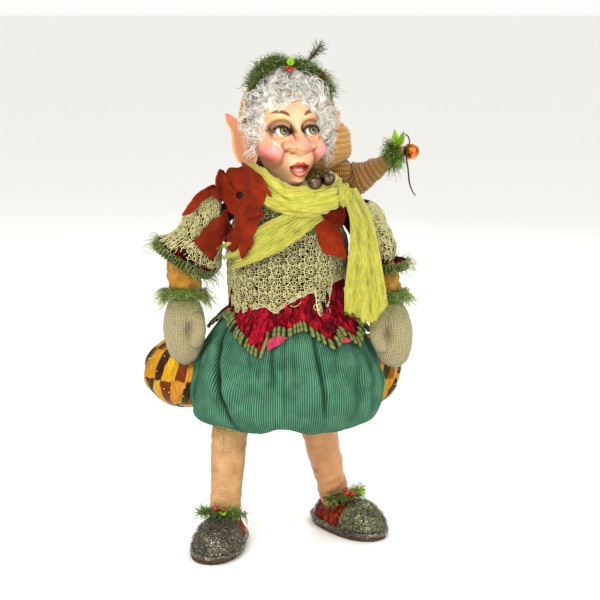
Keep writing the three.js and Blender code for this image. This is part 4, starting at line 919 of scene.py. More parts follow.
def makeShoe(side):
    body = "shin_" + side
    makePiece("shoe_velvet_" + side, gridSkin(shoeShell(side, 0.004, 0.66, 0.0, 0.35)), "redVelvet", body,
              ["shoe_upper_" + side], flip=True)
    cap = gridSkin(shoeShell(side, shoe["capFrom"][side], 0.997, 1.1, 0.25, 70, 110))
    makePiece("shoe_cap_" + side, cap, "glitter" if side == "right" else "glitterGreen", body,
              flip=True)
    heel = gridSkin(shoeShell(side, 0.003, 0.16, 0.9, 0.3, 30, 90))
    makePiece("shoe_heel_" + side, heel, "glitter", body, flip=True)
    shares = 0.5 - 0.499 * cos(linspace(0, math.pi, 60))
    ahead = shoe["length"] * (shoe["ankleShare"] - shares)
    half = stack([footHalf(shares) + 0.3, ahead, 0 * shares + 8], 1)
    edge = inShoe(side, np.concatenate([half, (half * [-1, 1, 1])[::-1][1:-1]]))
    loop = tubeSkin(edge[::3], [3.4], 150, 14, closed=True, flat=1.1,
                    push=lambda s, a: 0.4 * wander(4, 5, 0.06, s, 0.02 * a))
    makePiece("shoe_rim_" + side, loop, "glitter", body)


for side in sides:
    makeLeg(side)
    makeShoe(side)


# fibres: moss, yarn lashes, hair and frayed threads
def fibres(rng, roots, ways, length, droop=0.2, curl=0.0, turns=1.0, steps=6):
    # each goes out along its way, sags with the square of its run and winds about itself
    n = len(roots)
    ways = unit(ways)
    s = linspace(0, 1, steps)[None, :, None]
    run = np.broadcast_to(length, (n,))[:, None, None] * s
    side = unit(np.cross(ways, rng.normal(size=(n, 3))))
    lift = np.cross(ways, side)
    phase = rng.uniform(0, 2 * math.pi, (n, 1, 1))
    wind = 2 * math.pi * turns * s + phase
    bow = curl * (side[:, None] * (cos(wind) - cos(phase)) +
                  lift[:, None] * (sin(wind) - sin(phase)))
    return roots[:, None] + ways[:, None] * run + bow - [0, 0, 1] * (droop * run * s)


def shades(rng, count, codes, spread=0.12):  # one colour a strand, drawn from a few
    pick = array([colour(c) for c in codes])[rng.integers(0, len(codes), count)]
    return clip(pick * rng.uniform(1 - spread, 1 + spread, (count, 1)), 0, 1)


mossColours = ("#67893f", "#86a653", "#a3bd66", "#54703a", "#bccb80", "#75814f")


def tuft(rng, roots, ways, length, radius, codes=mossColours, **more):  # fibres as thin tapering tubes
    paths = fibres(rng, roots, ways, length, **more)
    steps = paths.shape[1]
    taper = linspace(1, 0.35, steps)[None] * radius
    return strandSkin(paths, taper * np.ones((len(roots), 1)), 3, tint=shades(rng, len(roots), codes))


def makeTinsel(side):  # short shining fibres all over the toe cap
    rng = seeded(27)
    n = shoe["tinsel"]
    share, turn = rng.uniform(shoe["capFrom"][side] + 0.02, 0.99, n), rng.uniform(0, math.pi, n)
    roots = shoePoint(share, turn, 1.2)
    ways = roots - [0, shoe["length"] * (shoe["ankleShare"] - 0.7), 8] + rng.normal(size=(n, 3)) * 22
    green = "#7c8a5e" if side == "right" else "#a5b27a"
    tinsel = tuft(rng, inShoe(side, roots), spun(ways, legs["toeOut"][side]), rng.uniform(2.5, 5.5, n), 0.2,
                  ("#8f8a78", "#5b5360", "#b9b08c", "#4a4450", green), droop=0.3, curl=0.8, steps=4)
    makePiece("shoe_tinsel_" + side, tinsel, "moss", "shin_" + side)


def makeSprig(side):
    # pine needles on a bent stem over the instep, with berries and a leaf
    rng = seeded(41 if side == "right" else 42)
    stem = along([[-25, -10, 38], [-13, -24, 44], [0, -29, 47], [13, -24, 44], [25, -10, 38]], 40)
    n = shoe["needles"]
    pick = rng.integers(0, len(stem), n)
    roots = stem[pick] + rng.normal(size=(n, 3)) * 2
    ways = rng.normal(size=(n, 3)) + [0, -0.5, 0.35] + 0.5 * (stem[pick] - [0, 0, 36]) / 20
    needles = tuft(rng, roots, ways, rng.uniform(6, 17, n), 0.42, droop=0.15, curl=0.8, turns=0.7)
    needles["verts"] = inShoe(side, needles["verts"])
    wood = tubeSkin(inShoe(side, stem[::4]), [2.2, 2.6, 2.2], 30, 8)
    body = "shin_" + side
    makePiece("sprig_needles_" + side, needles, "moss", body, ["shoe_sprig_" + side])
    makePiece("sprig_stem_" + side, wood, "bark", body)
    spots = {"right": [(-3, -33, 52, 3.6), (6, -30, 50, 3.0)],
             "left": [(-10, -31, 50, 4.4), (-3, -34, 48, 4.0), (12, -28, 52, 3.2)]}[side]
    berries = [ballSkin(inShoe(side, array(at, float)), [size] * 3, 9, 14,
                        tint=colour("#b3121c" if i < 2 else "#e7d9b8"))
               for i, (*at, size) in enumerate(spots)]
    makePiece("sprig_berries_" + side, joined(*berries), "berry", body)
    ends = inShoe(side, array([[4.0, -30, 44], [10, -44, 48]]))
    makeLeaf("sprig_leaf_" + side, ends, 5.5, "#a9cf2e", body)


def makeLeaf(name, ends, half, code, body, lift=(0, -0.3, 1)):
    # a small leaf: a midrib line with a width that swells and comes to a point, folded along its rib
    v = down(0, 1, 16)
    u = linspace(-1, 1, 9)[None]
    a, b = array(ends, float)
    way = b - a
    side = unit(np.cross(way, lift))
    up = np.cross(side, unit(way))
    width = half * sin(math.pi * v ** 0.8) ** 0.8
    bend = 2.5 * sin(math.pi * v) + np.abs(u) * width * 0.35
    points = a + way * v[..., None] + side * (u * width)[..., None] + \
        up * (bend + 0.3 * cos(9 * v))[..., None]
    shade = np.broadcast_to(colour(code), points.shape) * (1 - 0.35 * hump(u, 0, 0.12))[..., None]
    makePiece(name, thick(points, 0.5, tint=shade), "moss", body)


for side in sides:
    makeSprig(side)
    makeTinsel(side)
print("legs and shoes made")

# arms: puffed sleeves, forearms, yarn cuffs and mittens
wristAt = {"right": array([-121.0, -10, 303]), "left": array([118.0, -8, 298])}
puffs = {"right": {"centre": (-112, 5, 391), "half": (42, 38, 51), "cut": 353, "slope": 31,
                   "outline": ([330, 358, 370, 380, 393, 410, 419, 430, 440],
                               [158, 158, 150, 131, 122, 116, 109, 90, 78])},
         "left": {"centre": (97, 5, 373), "half": (33, 36, 46), "cut": 345, "slope": -4,
                  "outline": ([330, 336, 366, 390, 405, 413, 420], [119, 121, 126, 115, 110, 103, 90])}}
sleeveInner = 72.5  # how near the body's middle plane a sleeve comes


def puffPoint(side, polar, turn, out=0.0):  # a gathered ellipsoid, held to the outline and off the chest
    p = puffs[side]
    gather = 1 + 0.03 * cos(15 * turn + 2 * sin(3 * turn)) * sin(polar) ** 0.5 + \
        0.015 * wander(12, 6, 1.4, 2 * turn * sin(polar), 3 * polar)
    half = array(p["half"], float) + out
    tall = half[2] * np.where(cos(polar) < 0, 1.5, 1.0)  # its lower half reaches past the trim's plane
    points = array(p["centre"]) + stack([half[0] * gather * sin(polar) * cos(turn),
                                         half[1] * gather * sin(polar) * sin(turn),
                                         tall * cos(polar) + 0 * turn], -1)
    flip = outward[side]
    inner = sleeveInner + 2.5 - out * 0.5
    reach = flip * points[..., 0]
    # beyond the inner line, the reach is scaled from the ellipsoid's widest to the outline's at each height
    level = (points[..., 2] - p["centre"][2]) / tall
    widest = flip * p["centre"][0] + p["half"][0] * sqrt(clip(1 - level ** 2, 0.05, 1))
    edge = np.interp(points[..., 2], *p["outline"])
    slim = clip((edge - sleeveInner) / (widest - sleeveInner), 0.1, 1.25)
    reach = inner + (reach - inner) * np.where(reach > inner, slim, 1)
    points[..., 1] = p["centre"][1] + (points[..., 1] - p["centre"][1]) * np.minimum(0.55 + 0.45 * slim, 1)
    near = inner + 6 * exp(np.minimum(reach - inner - 6, 0) / 6)
    points[..., 0] = flip * np.where(reach < inner + 6, near, reach)
    return points


def cutPlane(side):  # the slanted plane of the sleeve's trim: a point on it and its upward direction
    elbow, slope = elbowAt[side], math.radians(puffs[side]["slope"])
    return array([elbow[0], elbow[1], puffs[side]["cut"]]), array([math.sin(slope), 0, math.cos(slope)])


def makeSleeve(side):
    body = "upper_arm_" + side
    middle, up = cutPlane(side)
    turn = fan(140)[None]
    polar = down(0.05, math.pi - 0.05, 110)
    points = puffPoint(side, polar, turn)
    below = np.minimum((points - middle) @ up, 0)
    points = points - below[..., None] * up  # what would hang under the plane is gathered onto it
    puff = shell(points, uvSize=(0.24, 0.12))
    # the puff's velvet is the darker copy: painted shade under the lace
    puff = makePiece("sleeve_velvet_" + side, puff, "velvetInShade", body, ["puff_sleeve_" + side],
                     flip=True)

    half = puffs[side]["half"]
    girth = 2 * math.pi * (half[0] + half[1]) / 2
    drop = half[2] * 2.4
    onto = lambda u, v: puffPoint(side, clip(0.1 + v / half[2], 0.1, 3.0), 2 * math.pi * u / girth, 1.8)

    def keep(u, v):
        at = onto(u, v)
        reach = outward[side] * at[..., 0]
        return ((at - middle) @ up > 4) & (reach > sleeveInner + 5) & (v > 0.35 * half[2])
    lace = laceSkin(girth, drop, 15.5, onto, 0.5, keep)
    lace = makePiece("sleeve_lace_" + side, lace, "lace", body, ["puff_sleeve_" + side])


def planeRing(side, radius, level, turn):  # a ring on the trim's slanted plane
    middle, up = cutPlane(side)
    ahead = array([0, 1.0, 0])
    across = np.cross(ahead, up)
    return middle + (radius * cos(turn))[..., None] * across + \
        (radius * sin(turn))[..., None] * ahead + (level + 0 * turn)[..., None] * up


def makeSleeveTrim(side):
    body = "upper_arm_" + side
    half = puffs[side]["half"]
    outer = min(half[0], half[1]) + 1
    turn = fan(560)[None]
    across = down(-1, 1, 12)
    ruffle = sin(58 * turn + 2.2 * sin(7 * turn))
    radius = outer - 2.6 + (2.0 + 1.2 * ruffle) * sqrt(clip(1 - across ** 2, 0, 1))
    points = planeRing(side, radius, -4 + across * (5.0 + 1.0 * ruffle), turn)
    flip = outward[side]
    points[..., 0] = flip * np.maximum(flip * points[..., 0], sleeveInner)
    ribbon = thick(points, 1.0, (0.5, 0.012), wrapAcross=True, tint=ruched(ruffle, across))
    ruching = makePiece("sleeve_ruching_" + side, ribbon, "trim", body, ["sleeve_trim_" + side])
    ringTurn = fan(240)
    rings = [planeRing(side, 0 * ringTurn + r, 0 * ringTurn + level, ringTurn) for r, level in
             ((outer - 3, -1), (outer - 10, -1.5), (27.5, -2.0), (26.5, -6))]
    under = stack(rings)
    under[..., 0] = flip * np.maximum(flip * under[..., 0], sleeveInner)
    makePiece("sleeve_under_" + side, gridSkin(under, wrapAcross=True), "velvet", body)
    rng = seeded(51)
    n = 420
    where = rng.uniform(0, 2 * math.pi, n)
    roots = planeRing(side, outer - 1 + 0 * where, rng.uniform(-7, 3, n), where)
    ways = (roots - cutPlane(side)[0]) / outer + rng.normal(size=(n, 3)) * 0.55
    keep = flip * roots[:, 0] > sleeveInner + 4
    lashes = tuft(rng, roots[keep], ways[keep], 4 + 20 * rng.random(keep.sum()) ** 2, 0.26,
                  ("#7f8f4a", "#a3b06a", "#c6cf96", "#5f7338"), droop=0.5, curl=1.8)
    makePiece("sleeve_lashes_" + side, lashes, "moss", body)


def makeForearm(side):
    body = "forearm_" + side
    elbow, wrist = elbowAt[side], wristAt[side]
    push = lambda s, a: 0.9 * wander(14, 7, 20, 60 * s, 20 * cos(a), 20 * sin(a)) - \
        0.6 * hump((s * 9) % 1, 0.5, 0.15)
    skin = tubeSkin([elbow - 0.3 * (wrist - elbow), lerp(elbow, wrist, 0.2), wrist], [18, 20, 18.6], 70, 60,
                    up=(0, 1, 0), push=push, uvSize=(0.12, 0.06), domed=(True, False))
    piece = makePiece("forearm_cloth_" + side, skin, "mustard", body, ["forearm_" + side])

    way = unit(wrist - elbow)
    middle = wrist - 6 * way
    across = unit(np.cross([0, 1.0, 0], way))
    plane = stack([across, np.cross(way, across)])
    core = tubeSkin(middle + circle(fan(16), 21.5) @ plane, [4.6], 80, 12, up=way, closed=True, flat=1.2,
                    push=lambda s, a: 0.7 * wander(9, 5, 0.05, s, 0.02 * a), tint=colour("#66783a"))
    rng = seeded(61 if side == "right" else 62)
    n = 1300
    where = rng.uniform(0, 2 * math.pi, n)
    out = circle(where) @ plane
    roots = middle + 22.5 * out + rng.uniform(-5, 5, (n, 1)) * way
    ways = out + rng.normal(size=(n, 3)) * 0.75
    lashes = tuft(rng, roots, ways, 5 + 20 * rng.random(n) ** 3, 0.28,
                  ("#90a05a", "#b3bf7a", "#cdd6a0", "#728646", "#9db36a"), droop=0.6, curl=1.9)
    makePiece("cuff_yarn_" + side, joined(core, lashes), "moss", body, ["cuff_moss_" + side])


mitten = {"length": 78, "half": 25, "thick": 17, "lean": {"right": 0, "left": 8}, "dimple": 12.0}


def makeMitten(side):
    flip = outward[side]
    wrist = wristAt[side]
    share = down(0, 1, 70)
    turn = fan(84)[None]
    full = sin(math.pi * (0.16 + 0.8 * share)) ** 0.55
    full = full * np.where(share > 0.86, sqrt(clip(1 - ((share - 0.86) / 0.145) ** 2, 0.03, 1)), 1)
    dimple = -mitten["dimple"] * hump(share, 0.42, 0.14) * hump(turn, 1.5 * math.pi - 0.24 * flip, 0.2) + \
        0.5 * wander(17, 6, 18, mitten["length"] * share, 20 * cos(turn))  # the palm behind the thumb
    points = stack([(mitten["half"] * full + dimple * 0.3) * cos(turn),
                    -4 * share + (mitten["thick"] * full + dimple) * sin(turn),
                    -mitten["length"] * share + 0 * turn], -1)
    hand = shell(points, uvSize=(0.14, 0.078))
    thumbPath = [(-flip * 15, -8, -12), (-flip * 18, -14, -33), (-flip * 12.5, -15, -54)]
    thumb = tubeSkin(thumbPath, [6.5, 8.4, 7.4], 40, 36, up=(0, 1, 0), uvSize=(0.05, 0.045))
    both = joined(hand, thumb)
    both["tint"] = None
    both["verts"] = spun(both["verts"], -mitten["lean"][side] * flip, axis=1) + wrist - [0, 0, 0.5]
    piece = makePiece("mitten_knit_" + side, both, "mitten", "forearm_" + side, ["mitten_" + side],
                      flip=True)


def makeStrayYarn():  # loose ends of cuff yarn hang at the bloomers' hem on the doll's right
    rng = seeded(66)
    across = rng.uniform(-88, -50, 16)
    roots = bloomersPoint(-np.arccos(across / 100), 158 + 0 * across, 0.6)
    ways = array([0, -0.15, -1.0]) + rng.normal(size=(16, 3)) * 0.3
    yarn = tuft(rng, roots, ways, rng.uniform(14, 34, 16), 0.24, ("#8d9a50", "#b3b878", "#6f7a3e"), droop=0.3,
                curl=3.0, turns=0.8, steps=9)
    makePiece("stray_yarn", yarn, "moss", "body")


makeStrayYarn()
for side in sides:
    makeSleeve(side)
    makeSleeveTrim(side)
    makeForearm(side)
    makeMitten(side)
print("arms made")

# what lies on the chest: scarf, leather leaves, bells
def frontOf(x, z):  # how far the front of the clothes stands out: the torso and both sleeves, eased together
    def bulge(cx, cy, hx, hy, lift):
        share = 1 - ((x - cx) / np.maximum(hx, 1e-3)) ** 2
        return cy - hy * sqrt(np.maximum(share, 0)) - np.where(share > 0, lift, 0)
    total = exp(-bulge(0, torsoY, eased(torsoWidths, z) + 6, eased(torsoDepths, z) + 6, 0) / 9)
    for side in sides:
        p = puffs[side]
        (cx, cy, cz), (hx, hy, hz) = p["centre"], p["half"]
        level = sqrt(np.maximum(1 - ((z - cz) / hz) ** 2, 0))
        total = total + exp(-bulge(cx, cy, hx * level + 1, hy * level, 2) / 9)
    return -9 * np.log(total)


# suede leaves: outlines as x and height round a middle point, how far they lie off the clothes, and how far
# their rims curl; "node" is the CAD node that a leaf stands for
leaves = {
    "shoulder_leaf": {
        "middle": (-54, 427), "hole": 4.0, "lift": 15, "forward": 6, "curl": 3.4,
        "node": "leather_shoulder_leaf", "outline": [
            (-76, 457), (-71, 452), (-66, 459), (-56, 459), (-46, 462), (-41, 455), (-33, 446), (-27, 437),
            (-24, 427), (-29, 417), (-32, 409), (-40, 406), (-47, 401), (-57, 396), (-61, 404), (-68, 409),
            (-70, 417), (-79, 424), (-86, 433), (-80, 438), (-80, 447)]},
    "hanging_leaf": {
        "middle": (-52, 386), "lift": 18, "curl": 2.0, "node": "leather_hanging_leaf", "outline": [
            (-27, 413), (-33, 396), (-38, 385), (-39, 376), (-46, 366), (-52, 359), (-55, 369), (-58, 374),
            (-61, 363), (-66, 367), (-72, 377), (-66, 384), (-61, 391), (-58, 401), (-47, 408), (-37, 415)]},
    "side_leaf": {
        "middle": (-84, 382), "lift": 7.5, "curl": 3.0, "body": "upper_arm_right",
        "node": "leather_side_leaf", "outline": [
            (-86, 398), (-77, 404), (-70, 410), (-67, 398), (-64, 384), (-70, 376), (-77, 370), (-80, 361),
            (-86, 354), (-91, 357), (-97, 364), (-106, 376), (-99, 384), (-95, 391)]},
    "chest_panel": {
        "middle": (49, 382), "lift": 6.0, "curl": 2.0, "node": "leather_chest_panel", "outline": [
            (30, 403), (35, 411), (41, 404), (50, 400), (55, 392), (62, 385), (66, 371), (68, 357), (60, 360),
            (51, 361), (41, 365), (35, 384)]},
    "collar_curl": {
        "middle": (-35, 449), "lift": 23, "curl": 0.8, "outline": [
            (-51, 464), (-43, 462), (-34, 456), (-26, 448), (-20, 438), (-18, 430), (-25, 436), (-33, 443),
            (-41, 449), (-48, 456)]},
    "back_strip": {
        "middle": (-99, 424), "lift": 2, "curl": 1.0, "body": "upper_arm_right", "outline": [
            (-119, 406), (-114, 415), (-105, 427), (-93, 436), (-83, 439), (-82, 431), (-90, 425), (-99, 419),
            (-108, 409)]},
    # a dark patch behind the shoulder leaf's hole: painted shade, so the hole looks dark
    "hole_shade_patch": {
        "middle": (-58, 423), "lift": 11, "curl": 0.3, "look": "bark", "outline": [
            (-66, 427), (-62, 431), (-56, 431), (-50, 427), (-51, 420), (-56, 416), (-62, 416), (-66, 421)]},
    "dark_leaf": {
        "middle": (57, 405), "lift": 3.5, "curl": 1.5, "outline": [
            (40, 414), (50, 419), (61, 417), (68, 409), (66, 399), (60, 392), (52, 397), (44, 405)]},
}


def makeSuede(name, leaf, columns=168):
    # rings from the hole, or the middle, to the outline; the rim curls up and is cut a little ragged
    middle = array(leaf["middle"], float)
    edge = along([(x, 0, z) for x, z in leaf["outline"]], columns, closed=True)[:, [0, 2]]
    ragged = 0.55 * wander(72, 9, 0.16, np.arange(columns) / columns) + 0.25 * seeded(71).normal(size=columns)
    away = unit(edge - middle)
    far = np.linalg.norm(edge - middle, axis=1, keepdims=True)
    hole = leaf.get("hole", 0)
    start = max(hole, 0.4)
    share = linspace(0, 1, 26)[:, None, None] ** 0.8
    flat = middle + away * (start + (far + ragged[:, None] - start) * share)
    x, z = flat[..., 0], flat[..., 1]
    rim = smooth((share[..., 0] - 0.55) / 0.45)
    turn = np.arctan2(away[:, 1], away[:, 0])[None]
    uneven = clip(wander(73, 5, 2.6, cos(turn) * 1.3, sin(turn) * 1.3), -0.6, 1)
    curl = leaf["curl"] * rim * (0.35 + 0.9 * uneven)
    swell = 1.2 * wander(74, 6, 26, x, z) + 0.4 * hump(share[..., 0], 0, 0.15) * (hole > 0)
    points = stack([x, frontOf(np.minimum(x, 50), np.minimum(z, 418)) - leaf["lift"] - curl - swell -
                    leaf.get("forward", 0) * smooth((x + 52) / 18), z], -1)
    skin = thick(points, 1.7, (0.2, 0.03), wrapAcross=True)
    piece = makePiece("suede_" + name, skin, leaf.get("look", "suede"), leaf.get("body", "body"),
                      [leaf["node"]] if "node" in leaf else [])


for leafName, leaf in leaves.items():
    makeSuede(leafName, leaf)

scarf = {"path": [(-38, -8, 438), (-18, -38, 428), (16, -48, 419), (48, -38, 426), (50, 2, 433),
                  (33, 33, 433), (0, 41, 432), (-31, 30, 435)], "radii": (11, 13, 13.5, 14, 11, 9, 9, 10),
         "fold": [(-44, -4, 457), (-31, -28, 451), (-16, -42, 441), (8, -49, 431), (40, -38, 436),
                  (55, -8, 440), (40, 28, 446), (0, 42, 450), (-38, 26, 455)],
         "foldRadii": (7, 9, 10, 9, 9, 7, 7, 7, 7), "knot": (66, -42, 430), "knotHalf": (8, 7, 13),
         # each tail's line as x and height, and half its width along it
         "short": [(38, 411), (18, 403), (-17, 384), (-45, 369), (-68, 357)],
         "long": [(70, 436), (83, 406), (87.5, 374), (89, 337), (90, 305), (91, 290)],
         "shortHalf": (10, 16, 17.5, 17, 14), "longHalf": (9, 12, 15.5, 20, 24, 25), "longFront": -47,
         "columns": 90, "fringe": 110}


def crinkle(seed, across, lengthwise, deep):  # creases that run down the cloth and fade in and out
    return deep * (0.7 * wander(seed, 8, 0.26, across, lengthwise * 0.5) +
                   0.35 * wander(seed + 1, 8, 0.1, across, lengthwise * 0.45))


def frontTail(line, widths, lift, deep, front, seed, steps):
    # a strip down a line of x and height: width across it, gathered folds, and fine creases along it
    middle = along([(x, 0, z) for x, z in line], steps)
    ahead = unit(np.gradient(middle, axis=0))
    v = linspace(0, 1, steps)
    half = np.interp(v, linspace(0, 1, len(widths)), widths)
    u = linspace(-1, 1, scarf["columns"])[None]
    x = middle[:, :1] + ahead[:, 2:] * half[:, None] * u
    z = middle[:, 2:] - ahead[:, :1] * half[:, None] * u
    creases = crinkle(seed, u * half[:, None] / 22, v[:, None] * 3, deep)
    folds = deep * 1.8 * cos(2 * math.pi * (1.3 * u + 0.12 * sin(5 * v[:, None])))
    y = (frontOf(x, z) if front is None else front + 0 * x) - lift - creases - folds
    return stack([x, y, z], -1)


def fringeSkin(rng, edge, way, length):  # loose threads along an edge
    n = scarf["fringe"]
    pick = rng.integers(0, len(edge), n)
    ways = array(way, float) + rng.normal(size=(n, 3)) * 0.5
    roots = edge[pick] + rng.normal(size=(n, 3)) * 0.6
    return tuft(rng, roots, ways, rng.uniform(0.3, 1, n) * length, 0.22, ("#c9c850", "#d8d678", "#aeb042"),
                droop=0.25, curl=0.8, turns=1.2)


def makeScarf():
    push = lambda s, a: crinkle(81, a / (2 * math.pi) * 3 + 0.9 * s, s * 7, 0.8) - \
        2.2 * exp(-((sin(a / 2 - 0.5 + 3.2 * s)) / 0.09) ** 2)
    loop = tubeSkin(scarf["path"], scarf["radii"], 200, 130, closed=True, push=push, uvSize=(0.08, 0.30))
    inner = tubeSkin(scarf["fold"], scarf["foldRadii"], 200, 60, closed=True, push=push, uvSize=(0.05, 0.28))
    wrinkled = lambda way: 1 + 0.06 * wander(83, 7, 0.5, way[..., 0], way[..., 1] * 0.25) + \
        0.05 * wander(84, 7, 0.25, way[..., 0] + way[..., 1], way[..., 2] * 0.2)
    knot = ballSkin(scarf["knot"], scarf["knotHalf"], 60, 90, wrinkled, uvSize=(0.08, 0.05))
    piece = makePiece("scarf_round_neck", loop, "gauze", "body", ["scarf_loop"])
    piece = makePiece("scarf_inner_fold", inner, "gauze", "body")
    piece = makePiece("scarf_tied_knot", knot, "gauze", "body", ["scarf_knot"], flip=True)
    rng = seeded(85)
    short = frontTail(scarf["short"], scarf["shortHalf"], 13.5, 0.95, None, 86, 110)
    long = frontTail(scarf["long"], scarf["longHalf"], 0, 1.25, scarf["longFront"], 88, 160)
    ends = linspace(-1, 1, scarf["columns"])
    low = smooth((down(0, 1, len(long)) - 0.75) / 0.25)  # both ends are cut aslant and ragged
    slant = np.interp(-ends, [-1, -0.5, 0.3, 1], [9, 2, -9, 13])
    long[..., 2] += low * (slant + 1.3 * wander(87, 5, 0.5, ends))
    far = smooth((down(0, 1, len(short)) - 0.8) / 0.2)
    ragged = 4.5 * cos(2.2 * math.pi * ends) + 1.5 * wander(90, 5, 0.4, ends)
    short[..., 0] -= far * ragged
    short[..., 2] -= far * ragged * 0.4
    for tag, points, flat, node in (("short", short, (0.08, 0.125), "scarf_short_tail"),
                                    ("long", long, (0.07, 0.155), "scarf_long_tail")):
        cloth = makePiece("scarf_tail_" + tag, thick(points, 1.3, flat), "gauze", "body", [node],
                          flip=True)
        way = unit(points[-1].mean(0) - points[-8].mean(0))
        fringe = makePiece("scarf_fringe_" + tag, fringeSkin(rng, points[-1] + [0, 0.6, 0], way, 4.5), "lace",
                           "body")


makeScarf()


def bellSkin(radius):
    # a jingle bell: a sphere with a girdle ridge, a slot over its lower half that ends in two round holes
    polar = linspace(0, math.pi, 64)[1:-1, None]
    turn = fan(96)[None]
    way = directions(polar, turn)
    girdle = 0.055 * hump(way[..., 2], 0, 0.06)
    line = exp(-(way[..., 1] / 0.11) ** 4) * smooth((-way[..., 2] - 0.12) / 0.1)
    holes = sum(exp(-((way - [s * 0.86, 0, -0.42]) ** 2).sum(-1) / 0.035) for s in (-1, 1))
    size = radius * (1 + girdle - 0.3 * clip(line + holes, 0, 1))
    return shell((way * size[..., None])[::-1])


def makeBell(name, at, radius, tilt, lean, look, body, node):
    ring = radius * (0.27 * stack([cos(fan(24)), 0 * fan(24), sin(fan(24))], 1) + [0, 0, 1.16])
    lug = tubeSkin(ring, [radius * 0.08], 40, 8, up=(0, 1, 0), closed=True)
    whole = joined(bellSkin(radius), lug)
    whole["tint"] = None
    whole["verts"] = spun(spun(whole["verts"], tilt, axis=0), lean, axis=1) + at
    makePiece(name, whole, look, body, [node], flip=True)


makeBell("bronze_bell_right", (31.6, -49, 445.4), 8.2, 35, 20, "bronze", "body", "neck_bell_right")
makeBell("bronze_bell_left", (46.5, -42, 449), 8.2, 60, -25, "bronze", "body", "neck_bell_left")
print("scarf, leather and bells made")

# head, in its own frame: it faces -Y and its middle is the origin
headAt = array([-2.0, 3, 503])
headTurn = 18
faceForm = {"half": 40, "front": 45, "back": 46, "chin": 70, "crown": 58, "jaw": 0.32,
            # the lower face leans to the doll's left: heights and shifts
            "lean": ([-60, -43, -15, -5, 4], [5.3, 4.5, 3.0, 1.0, 0])}
eyeForm = {"x": 17.2, "y": -33.6, "z": -2.0, "ball": 10.3, "lid": 11.9, "wide": 9.6, "up": 5.2, "down": 4.7}
mouthForm = {"x": 0.6, "z": -43.5, "half": 11.8}
# rounded forms on the face: how far out, on both sides or in the middle, middle, half sizes, steepness
faceBumps = {
    "bridge of the nose": (8.5, False, 0, -3, 5.0, 13), "tip": (24.5, False, -0.2, -14, 10.2, 10, 2.8),
    "wings": (11.5, True, 13.2, -17.5, 5.4, 5.6, 2.8), "nostrils": (-4.0, True, 7.5, -25, 3.4, 2.0),
    "groove over the lip": (-1.6, False, 0, -31, 2.4, 5), "cheeks": (13, True, 29.5, -28.5, 13.5, 12.5, 2.4),
    "bags under the eyes": (1.8, True, 19, -11, 9, 3.0), "brows": (3.6, True, 18, 15, 12, 6),
    "between the brows": (2.0, False, 0, 14, 9, 9), "mound of the mouth": (4.8, False, 0, -44, 19, 13, 2.5),
    "chin": (18, False, 0.5, -63, 12.5, 9.8, 2.4), "crease over the chin": (-1.8, False, 0.5, -54.6, 9, 1.8),
    "eye sockets": (-4.0, True, 17, 0, 12, 9)}


def fromHead(points):  # from the head's own frame to the doll
    return spun(points, headTurn) + headAt


def blob(x, z, x0, z0, sx, sz, power=2.0):  # a round hill, 1 at its middle; a higher power is flatter on top
    return exp(-(((x - x0) / sx) ** 2 + ((z - z0) / sz) ** 2) ** (power / 2))


def lipLines(x):  # upper lip's top, mouth opening's top and bottom, lower lip's bottom, at each x
    t = clip(np.abs((x - mouthForm["x"]) / mouthForm["half"]), 0, 1)
    agape = clip(1 - t ** 2, 0, 1)
    top = -36.4 - 4.6 * t ** 1.7 - 1.3 * hump(t, 0, 0.16) + 0.7 * hump(t, 0.34, 0.2)
    inTop = -41.0 + 0.5 * hump(t, 0.3, 0.2) - 0.6 * t
    inLow = -41.8 - 6.6 * agape ** 0.75
    low = -42.0 - 11.6 * agape ** 0.6
    return t, top, inTop, inLow, low


def eyeOpening(x, z, sign):  # how far inside the lids' almond a point lies; outside it's below 0
    e = eyeForm
    t = (x - sign * e["x"]) / e["wide"]
    tilt = 0.08 * (x * sign - e["x"])
    room = clip(1 - t ** 2, 0, 1)
    upper = e["z"] + tilt + e["up"] * room ** 0.62 - 0.2
    lower = e["z"] + tilt - e["down"] * room ** 0.7
    return np.minimum(upper - z, z - lower) * np.where(np.abs(t) < 1, 1, -1) - \
        0.8 * np.maximum(np.abs(t) - 1, 0) * e["wide"]


